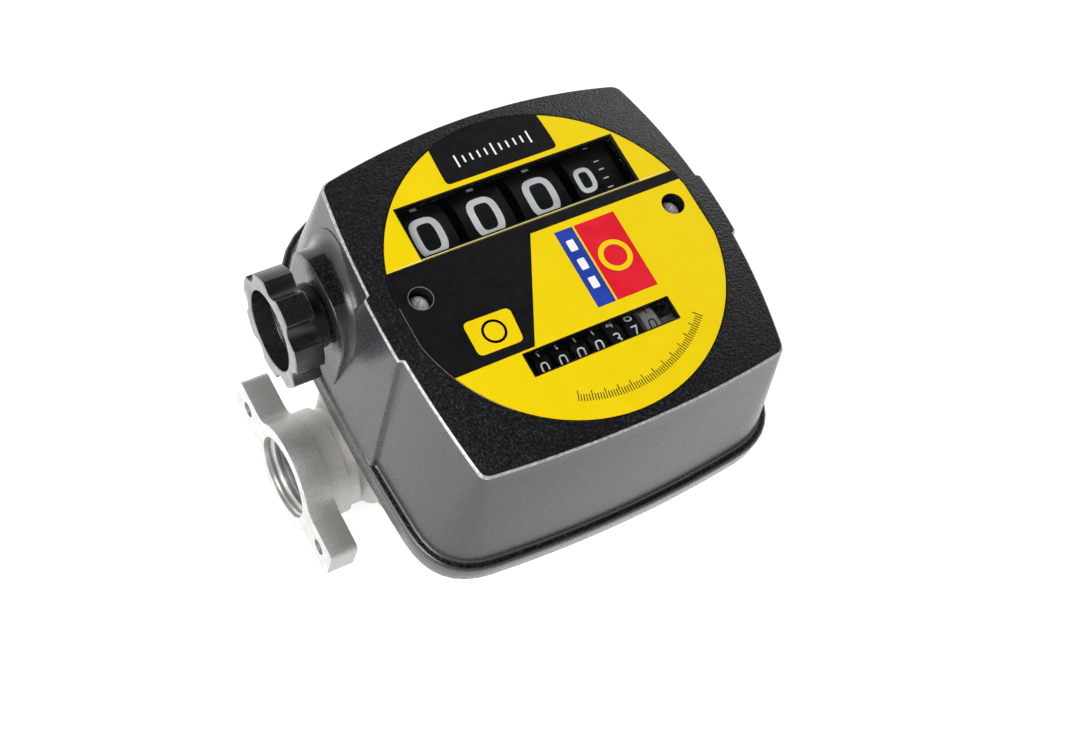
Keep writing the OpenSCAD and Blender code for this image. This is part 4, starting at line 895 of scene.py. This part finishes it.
def ring_of(name, x, y, outer, inner, material):
    """Flat ring of the second layer, in millimetres."""
    edge, hole = [circle_points(x * MM, y * MM, r * MM, steps=64) for r in (outer, inner)]
    second_layer(name, edge, [hole], material)


def half_chord(at):
    """How far the dial's round edge lies from one axis, at a distance along the other."""
    return math.sqrt(DIAL_R ** 2 - at * at)


def dial_base(wells, windows):
    """Yellow plate, black at its cut edges."""
    base = filled("dial_face", dial_outline(0), wells + windows, SEAT_Z, PLATE_TOP, YELLOW)
    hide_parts("dial_plate")
    base.data.materials.append(BLACK)
    for face in base.data.polygons:
        face.material_index = 0 if face.normal.z > 0.5 else 1


def black_field(well):
    """Black field on the left under the upper window, and the pale line above it."""
    left = []
    for k in range(FIELD_STEPS + 1):
        y = (FIELD_TOP - FIELD_HEIGHT * k / FIELD_STEPS) * MM
        left.append((max(-DIAL_FLAT, -half_chord(y)), y))
    right = []
    for k in range(STRIP_STEPS + 1):
        y = (STRIP_LOW + STRIP_HEIGHT * k / STRIP_STEPS) * MM
        right.append((half_chord(y), y))
    first_layer("black_field", left + in_metres(FIELD_SLANT) + right, [well], BLACK)
    second_layer("pale_line", rectangle(*PALE_LINE), [], PALE)


def top_patch():
    """Patch above the upper window, which follows the dial's edge, with its ticks."""
    x0, low, x1, high = TOP_PATCH
    top = [(x * MM, half_chord(x * MM)) for x in range(23, -23, -1)]
    patch = rounded(in_metres([(x0, high), (x0, low), (x1, low), (x1, high)]), [0, 2 * MM, 2 * MM, 0])
    first_layer("top_patch", patch + top, [], BLACK)
    patch_marks()


def panels():
    """Small yellow square on the black field, and the panel in two colours on the right."""
    second_layer("yellow_square", rounded(in_metres(YELLOW_SQUARE), 2.4 * MM), [], YELLOW)
    ring_of("square_ring", *SQUARE_RING, BLACK)
    first_layer("panel_red", rectangle(*RED_PANEL), [], RED)
    first_layer("panel_blue", rectangle(*BLUE_PANEL), [], BLUE)
    ring_of("panel_ring", *PANEL_RING, YELLOW)
    x0, low, x1, high = PANEL_BAR
    for k in range(3):
        up = BAR_SPACING * k
        outline = rounded(rectangle(x0, low + up, x1, high + up), 0.5 * MM)
        second_layer("panel_bar_%d" % k, outline, [], WHITE)


def edge_lines():
    """Grey arc beside the black field as a painted highlight of the plate's cut edge, black line round
    the dial as a painted shade of the seat's gap, bright ring round the left well.
    """
    near, far = [dial_outline(-inset) for inset in GLINT]
    glint = near[GLINT_POINTS] + far[GLINT_POINTS][::-1]
    # Painted highlight: thin grey arc for the plate's cut edge
    filled("plate_glint", glint, [], SECOND_TOP, SECOND_TOP + PRINT_T, WHEEL_GREY)
    # Painted shade: black line round the dial for the seat's gap
    second_layer("dial_gap_shade", dial_outline(0), [dial_outline(-GAP_SHADE_W)], BLACK)
    ring_of("well_ring", -SCREW_X / MM, SCREW_Y / MM, WELL_R / MM + WELL_RING_W, WELL_R / MM, WHEEL_GREY)


def dial():
    wells = [circle_points(x, y, WELL_R) for x, y, z in SCREWS]
    register, totaliser = [opening(*window) for window in WINDOWS]
    dial_base(wells, [register, totaliser])
    black_field(wells[0])
    top_patch()
    edge_marks()
    first_layer("window_surround", rounded(rectangle(*REGISTER_FRAME), 0.4 * MM), [register], BLACK)
    first_layer("totaliser_surround", rounded(rectangle(*TOTAL_FRAME), 0.4 * MM), [totaliser], BLACK)
    panels()
    edge_lines()


def marks_mesh(name, quads, material):
    """Flat marks laid on the dial."""
    bm = bmesh.new()
    for quad in quads:
        bm.faces.new([bm.verts.new((x, y, SECOND_TOP)) for x, y in quad])
    add_object(name, mesh_from(bm, name), "housing", [material])


def patch_marks():
    """Row of plain ticks on the upper patch."""
    quads = []
    y, w = 50 * MM, 0.35 * MM
    short, long = 1.5 * MM, 2.6 * MM
    for k in range(11):
        x = (-14.4 + 3 * k) * MM
        h = long if k % 5 == 0 else short
        quads.append([(x - w, y - h), (x + w, y - h), (x + w, y + h), (x - w, y + h)])
    marks_mesh("patch_marks", quads, WHITE)


def edge_marks():
    """Arc of plain ticks along the lower edge."""
    quads = []
    start, spacing = -112, 1.1
    short, long, far = 52 * MM, 50.6 * MM, 54.6 * MM
    half = 0.16 * MM
    for k in range(61):
        a = math.radians(start + k * spacing)
        c, s = math.cos(a), math.sin(a)
        near = long if k % 5 == 0 else short
        dx, dy = half * s, half * c
        quads.append([(near * c + dx, near * s - dy), (far * c + dx, far * s - dy),
                      (far * c - dx, far * s + dy), (near * c - dx, near * s + dy)])
    marks_mesh("edge_marks", quads, BLACK)


# Numbers on the wheels, drawn with strokes of even width

def loop(cx, cy, rx, ry, start=0, end=360, steps=28, power=2.6):
    """Part of a rounded oval."""
    out = []
    for k in range(steps + 1):
        a = math.radians(start + (end - start) * k / steps)
        c, s = math.cos(a), math.sin(a)
        out.append((cx + rx * math.copysign(abs(c) ** (2 / power), c),
                    cy + ry * math.copysign(abs(s) ** (2 / power), s)))
    return out


# Each digit in a cell one wide and one high, centred on zero, as strokes
DIGITS = [
    [loop(0, 0, 0.5, 0.5, power=3.2)],
    [[(-0.22, 0.28), (0.04, 0.5), (0.04, -0.5)]],
    [loop(0, 0.22, 0.46, 0.28, 165, -35, 18) + [(-0.46, -0.5), (0.5, -0.5)]],
    [loop(-0.02, 0.25, 0.42, 0.25, 150, -85, 16), loop(-0.02, -0.25, 0.48, 0.25, 90, -155, 18)],
    [[(0.5, -0.2), (-0.5, -0.2), (0.2, 0.5), (0.2, -0.5)]],
    [[(0.42, 0.5), (-0.38, 0.5), (-0.44, 0.04)] + loop(0, -0.18, 0.48, 0.32, 130, -150, 20)],
    [loop(0, -0.2, 0.48, 0.3), [(0.36, 0.5), (0.0, 0.44), (-0.32, 0.2), (-0.48, -0.16)]],
    [[(-0.46, 0.5), (0.46, 0.5), (-0.08, -0.5)]],
    [loop(0, 0.25, 0.4, 0.25), loop(0, -0.25, 0.49, 0.27)],
    [loop(0, 0.2, 0.48, 0.3), [(-0.36, -0.5), (0.0, -0.44), (0.32, -0.2), (0.48, 0.16)]],
]

# Longest step along a stroke, as a share of the digit's height
STROKE_STEP = 0.12
# How much wider a stroke may get at a sharp turn
STROKE_GROW = 1.6
# How far the digits stand off the wheel
DIGIT_LIFT = 0.04 * MM
# Figures of each kind of wheel: size, stroke width, shift along the shaft, wheel's radius
REGISTER_FIGURES = ((12 * MM, 16.2 * MM), 2.7 * MM, -0.2 * MM, 30 * MM)
FIRST_FIGURES = ((7.6 * MM, 10.5 * MM), 1.9 * MM, -4.4 * MM, 30 * MM)
TOTAL_FIGURES = ((3.1 * MM, 4.4 * MM), 0.62 * MM, 0, 10.5 * MM)
# Marks beside the digits of the register's first wheel: length, half width, start as a share
# of the digit's width
MARK_LONG = 2.2 * MM
MARK_HALF_W = 0.25 * MM
MARK_START = 0.9
# How far past its centre, in degrees, each counter's digit has come down
LOW_TURN = 3.4
TOTAL_LOW_TURN = 10
# What the totaliser shows, from its first wheel, the one on the right
TOTAL_SHOWN = [0, 7, 3, 0, 0, 0, 0]


def unit(step, other):
    """Direction of a step, or the other direction where the step has no length."""
    return step.normalized() if step.length > 1e-9 else other


def stroke_pairs(points, width):
    """Ribbon of a stroke, as a list of (left, right) points."""
    places = [Vector(p) for p in points]
    closed = (places[0] - places[-1]).length < 1e-9
    last = len(places) - 1
    out = []
    for i, p in enumerate(places):
        before = places[i - 1] if i else (places[-2] if closed else p)
        after = places[i + 1] if i < last else (places[1] if closed else p)
        u = unit(p - before, (after - p).normalized())
        v = unit(after - p, u)
        mean = (u + v).normalized() if (u + v).length > 1e-6 else u
        side = Vector((-mean.y, mean.x))
        grow = min(STROKE_GROW, 1 / max(0.3, mean.dot(v)))
        out.append((p + side * width / 2 * grow, p - side * width / 2 * grow))
    return out


def finer(points, longest):
    """Line with its longer steps divided."""
    fine = []
    for a, b in zip(points, points[1:]):
        parts = max(1, round(math.dist(a, b) / longest))
        fine += [blend2(a, b, k / parts) for k in range(parts)]
    return fine + [points[-1]]


def draw_digit(bm, number, size, width, place):
    """Adds one digit to a mesh; place maps flat (x, y) to the wheel's surface."""
    for points in DIGITS[number]:
        flat = [(x * (size[0] - width), y * (size[1] - width)) for x, y in points]
        pairs = stroke_pairs(finer(flat, size[1] * STROKE_STEP), width)
        rows = [[bm.verts.new(place(*q)) for q in pair] for pair in pairs]
        for a, b in zip(rows, rows[1:]):
            bm.faces.new((a[0], b[0], b[1], a[1]))


def wheel_numbers(name, body, centre, figures, turn, material, marked=False):
    """Ten digits round a wheel. turn is the angle of the digit nought from straight up."""
    size, width, shift, radius = figures
    lift = radius + DIGIT_LIFT
    bm = bmesh.new()

    def at(x, a):
        return (centre.x + shift + x, centre.y + lift * math.cos(a), centre.z + lift * math.sin(a))

    for number in range(10):
        middle = math.radians(90 + turn - 36 * number)
        draw_digit(bm, number, size, width, lambda x, y: at(x, middle - y / lift))
        if marked:
            start = size[0] * MARK_START
            for mark in range(1, 5):
                a = middle + math.radians(36 * mark / 5 - 18)
                low, high = a - MARK_HALF_W / lift, a + MARK_HALF_W / lift
                ends = [(start, low), (start + MARK_LONG, low), (start + MARK_LONG, high), (start, high)]
                bm.faces.new([bm.verts.new(at(*end)) for end in ends])
    mesh = bpy.data.meshes.new(name)
    bmesh.ops.recalc_face_normals(bm, faces=bm.faces)
    bm.to_mesh(mesh)
    bm.free()
    return add_object(name, mesh, body, [material])


def numbers():
    """Figures on the register's four wheels and the totaliser's seven; the first is on the right."""
    for k in range(1, 5):
        first = k == 1
        wheel_numbers("register_numbers_%d" % k, "register_%d" % k,
                      joint("register_%d_turn" % k), FIRST_FIGURES if first else REGISTER_FIGURES,
                      LOW_TURN, DIGIT, marked=first)
    for k in range(1, 8):
        first = k == 1
        wheel_numbers("totaliser_numbers_%d" % k, "totaliser_%d" % k,
                      joint("totaliser_%d_turn" % k),
                      TOTAL_FIGURES, 36 * TOTAL_SHOWN[k - 1] + TOTAL_LOW_TURN,
                      DIGIT_DARK if first else DIGIT)


# Threads of the ports

THREAD_PITCH = 2.309 * MM
THREAD_MINOR = 15.15 * MM
THREAD_ROOT = 16.6 * MM
THREAD_LEN = 17 * MM
THREAD_STEPS = 48
# How far the ridge starts inside the port's face, and how far it lies clear of the root
THREAD_START = 0.6 * MM
THREAD_CLEAR = 0.02 * MM
# The ridge across, as (share of the pitch, radius), and its least height, as a share, at its ends
RIDGE = [(0.0, THREAD_ROOT - THREAD_CLEAR), (0.36, THREAD_MINOR), (0.5, THREAD_MINOR),
         (0.86, THREAD_ROOT - THREAD_CLEAR)]
RIDGE_LEAST = 0.05


def ridge_row(side, k, last):
    """Section of the thread's ridge at a step of its winding."""
    a = 2 * math.pi * k / THREAD_STEPS
    along = THREAD_START + THREAD_PITCH * k / THREAD_STEPS
    fade = max(RIDGE_LEAST, min(1, k / THREAD_STEPS, (last - k) / THREAD_STEPS))
    row = []
    for share, r in RIDGE:
        radius = THREAD_ROOT - (THREAD_ROOT - r) * fade
        x = side * (PORT_FACE - along - share * THREAD_PITCH)
        row.append((x, radius * math.cos(side * a), PORT_Z + radius * math.sin(side * a)))
    return row


def port_thread(side):
    """Internal thread of a port, as a ridge that winds along the bore."""
    bm = bmesh.new()
    last = int(THREAD_LEN / THREAD_PITCH) * THREAD_STEPS
    rows = [[bm.verts.new(p) for p in ridge_row(side, k, last)] for k in range(last + 1)]
    for near, far in zip(rows, rows[1:]):
        for i in range(len(RIDGE)):
            j = (i + 1) % len(RIDGE)
            bm.faces.new((near[i], far[i], far[j], near[j]))
    bm.faces.new(rows[0])
    bm.faces.new(rows[-1][::-1])
    mesh = mesh_from(bm, "thread", FINE_SHARP)
    add_object("thread_%s" % ("inlet" if side < 0 else "outlet"), mesh, "housing",
               [MACHINED])


# Machined faces: how exactly they lie in the port's face, how squarely they look along X,
# and the radius and start of the bore
FACE_OFF = 0.05 * MM
FACE_SQUARE = 0.95
BORE_R = 17 * MM
BORE_FROM = 77 * MM


def machined_faces():
    """Body with rounded edges, cast all over but for the flanges' faces and the bores."""
    piece = softened("meter_body", 0.7 * MM, 3, [CAST, MACHINED])
    for face in piece.data.polygons:
        x, y, z = face.center
        on_flange = abs(abs(x) - PORT_FACE) < FACE_OFF and abs(face.normal.x) > FACE_SQUARE
        in_bore = abs(x) > BORE_FROM and math.hypot(y, z - PORT_Z) < BORE_R
        if on_flange or in_bore:
            face.material_index = 1


# Cover screws: domed heads with a cross recess

HEAD_R = 3.8 * MM
HEAD_H = 2.6 * MM
# Head: chamfer under it as run and rise, height of its straight side, and rise of its dome
HEAD_CHAMFER = (0.2 * MM, 0.3 * MM)
HEAD_SIDE = 0.9 * MM
HEAD_DOME = 1.7 * MM
SHANK_R = 2 * MM
# Cross recess: half length, half width, depth, its turn in degrees, and the cone at its middle
CROSS_LONG = 2.1 * MM
CROSS_WIDE = 0.38 * MM
CROSS_DEEP = 1.5 * MM
CROSS_TURN = 32
CONE = [(0, -1.9 * MM), (1.15 * MM, 0.4 * MM), (0, 0.4 * MM)]


def screw_head():
    """Head of a cover screw, with its top in the origin."""
    run, rise = HEAD_CHAMFER
    profile = [(0, -HEAD_H), (HEAD_R - run, -HEAD_H), (HEAD_R, -HEAD_H + rise),
               (HEAD_R, -HEAD_H + HEAD_SIDE)]
    for degrees in range(12, 90, 13):
        a = math.radians(degrees)
        profile.append((HEAD_R * math.cos(a), -HEAD_H + HEAD_SIDE + HEAD_DOME * math.sin(a)))
    profile.append((0, 0))
    cuts = []
    for turn in (0, 90):
        cross = block((-CROSS_LONG, -CROSS_WIDE, -CROSS_DEEP), (CROSS_LONG, CROSS_WIDE, CUT_OVER))
        cross.transform(Matrix.Rotation(math.radians(turn + CROSS_TURN), 4, "Z"))
        cuts.append(cross)
    cuts.append(lathe(CONE, "cone", steps=24))
    return boolean(lathe(profile, "head", steps=64), cuts, "DIFFERENCE", "head")


def cover_screws():
    """The two screws at the bottom of their wells."""
    top = DIAL_Z - WELL_DEEP + HEAD_H
    pieces = []
    for side, at in zip(("left", "right"), SCREWS):
        head = screw_head()
        head.transform(Matrix.Translation((at[0], at[1], top)))
        shank = bar(SHANK_R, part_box("cover_screws")[0].z, top - HEAD_H, at, steps=32)
        both = boolean(head, [shank], "UNION", "screw")
        smooth(both, FINE_SHARP)
        pieces.append(add_object("cover_screw_" + side, both, "housing", [ZINC]))
    for piece in pieces:
        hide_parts("cover_screws")


# Knob's front edge, painted grey as a painted highlight: its depth, and how far forward its faces look at
# least
KNOB_EDGE = 1.0 * MM
KNOB_FORWARD = 0.3


def knob():
    """Reset knob with rounded edges, with a painted highlight in grey on its front edge."""
    piece = softened("reset_knob", 0.9 * MM, 4, [KNOB_BLACK, KNOB_HIGHLIGHT])
    front = min(face.center.x for face in piece.data.polygons)
    for face in piece.data.polygons:
        # Faces at the front edge take the painted highlight
        if face.center.x < front + KNOB_EDGE and face.normal.x < -KNOB_FORWARD:
            face.material_index = 1


# Camera at the photograph's viewpoint: place, turn in degrees, lens and sensor in millimetres
CAMERA_PLACE = (-0.26046, -0.21426, 0.6431)
CAMERA_TURN = (27.482, -12.735, -29.304)
CAMERA_LENS = 58.05
CAMERA_SENSOR = 36

# Heights where the world's light starts and ends to fade, and its strength there
FADE = {"From Min": 0.3, "From Max": 0.8, "To Min": 1.0, "To Max": 0.02}

# Floor: half size, gap under the meter, and its white
FLOOR_HALF = 3
FLOOR_GAP = 0.2 * MM
FLOOR_WHITE = 0.93
# How much the white is raised where the camera, metal or glass sees it
FLOOR_LIFT = 0.52


def camera():
    data = bpy.data.cameras.new("camera")
    data.sensor_width = CAMERA_SENSOR
    data.lens = CAMERA_LENS
    obj = link("camera", data)
    obj.location = CAMERA_PLACE
    obj.rotation_euler = tuple(math.radians(a) for a in CAMERA_TURN)
    bpy.context.scene.camera = obj


def area_light(name, place, target, size, power):
    """Soft lamp that looks at a target."""
    data = bpy.data.lights.new(name, "AREA")
    data.shape = "RECTANGLE"
    data.size, data.size_y = size
    data.energy = power
    obj = link(name, data)
    obj.location = place
    obj.rotation_euler = (Vector(target) - Vector(place)).to_track_quat("-Z", "Y").to_euler()


def world_light():
    """World that is white near the horizon and dark overhead."""
    world = bpy.data.worlds.new("world")
    bpy.context.scene.world = world
    world.use_nodes = True
    tree = world.node_tree
    coords = tree.nodes.new("ShaderNodeTexCoord")
    parts = tree.nodes.new("ShaderNodeSeparateXYZ")
    tree.links.new(coords.outputs["Generated"], parts.inputs[0])
    fade = tree.nodes.new("ShaderNodeMapRange")
    for name, value in FADE.items():
        fade.inputs[name].default_value = value
    tree.links.new(parts.outputs["Z"], fade.inputs["Value"])
    back = tree.nodes["Background"]
    back.inputs["Color"].default_value = (1, 1, 1, 1)
    tree.links.new(fade.outputs["Result"], back.inputs["Strength"])


def floor_white():
    """White that is raised only where the camera, metal or glass sees it."""
    f = Finish("floor_white", Base_Color=(FLOOR_WHITE, FLOOR_WHITE, FLOOR_WHITE, 1), Roughness=1.0,
               Specular_IOR_Level=0.0, Emission_Color=(1, 1, 1, 1))
    paths = f.node("LightPath").outputs
    seen = paths["Is Camera Ray"]
    for other in ("Is Glossy Ray", "Is Transmission Ray"):
        seen = f.maths("MAXIMUM", seen, paths[other])
    f.fill(f.shader, {"Emission_Strength": f.maths("MULTIPLY", seen, FLOOR_LIFT)})
    return f.material


def floor():
    """White floor that keeps the object's shadow."""
    bm = bmesh.new()
    bmesh.ops.create_grid(bm, x_segments=1, y_segments=1, size=FLOOR_HALF)
    mesh = mesh_from(bm, "floor")
    mesh.materials.append(floor_white())
    obj = link("floor", mesh)
    obj.location.z = cad_bounds[0].z - FLOOR_GAP


def studio():
    """White floor and horizon, two soft lamps on the camera's side and one across from it."""
    bpy.context.scene.view_settings.view_transform = "Standard"
    world_light()
    floor()
    area_light("key", (-0.85, -0.15, 1.1), (0, 0, 0.08), (0.6, 0.6), 13)
    area_light("fill", (-1.1, 0.0, 0.45), (0, 0, 0.08), (0.6, 0.4), 6)
    area_light("sheen", (0.95, 0.65, 0.6), (0.04, 0.04, 0.12), (0.5, 0.4), 7)


camera()
studio()
dress_cad_nodes()
front_cover()
dial()
numbers()
machined_faces()
port_thread(-1)
port_thread(1)
cover_screws()
knob()
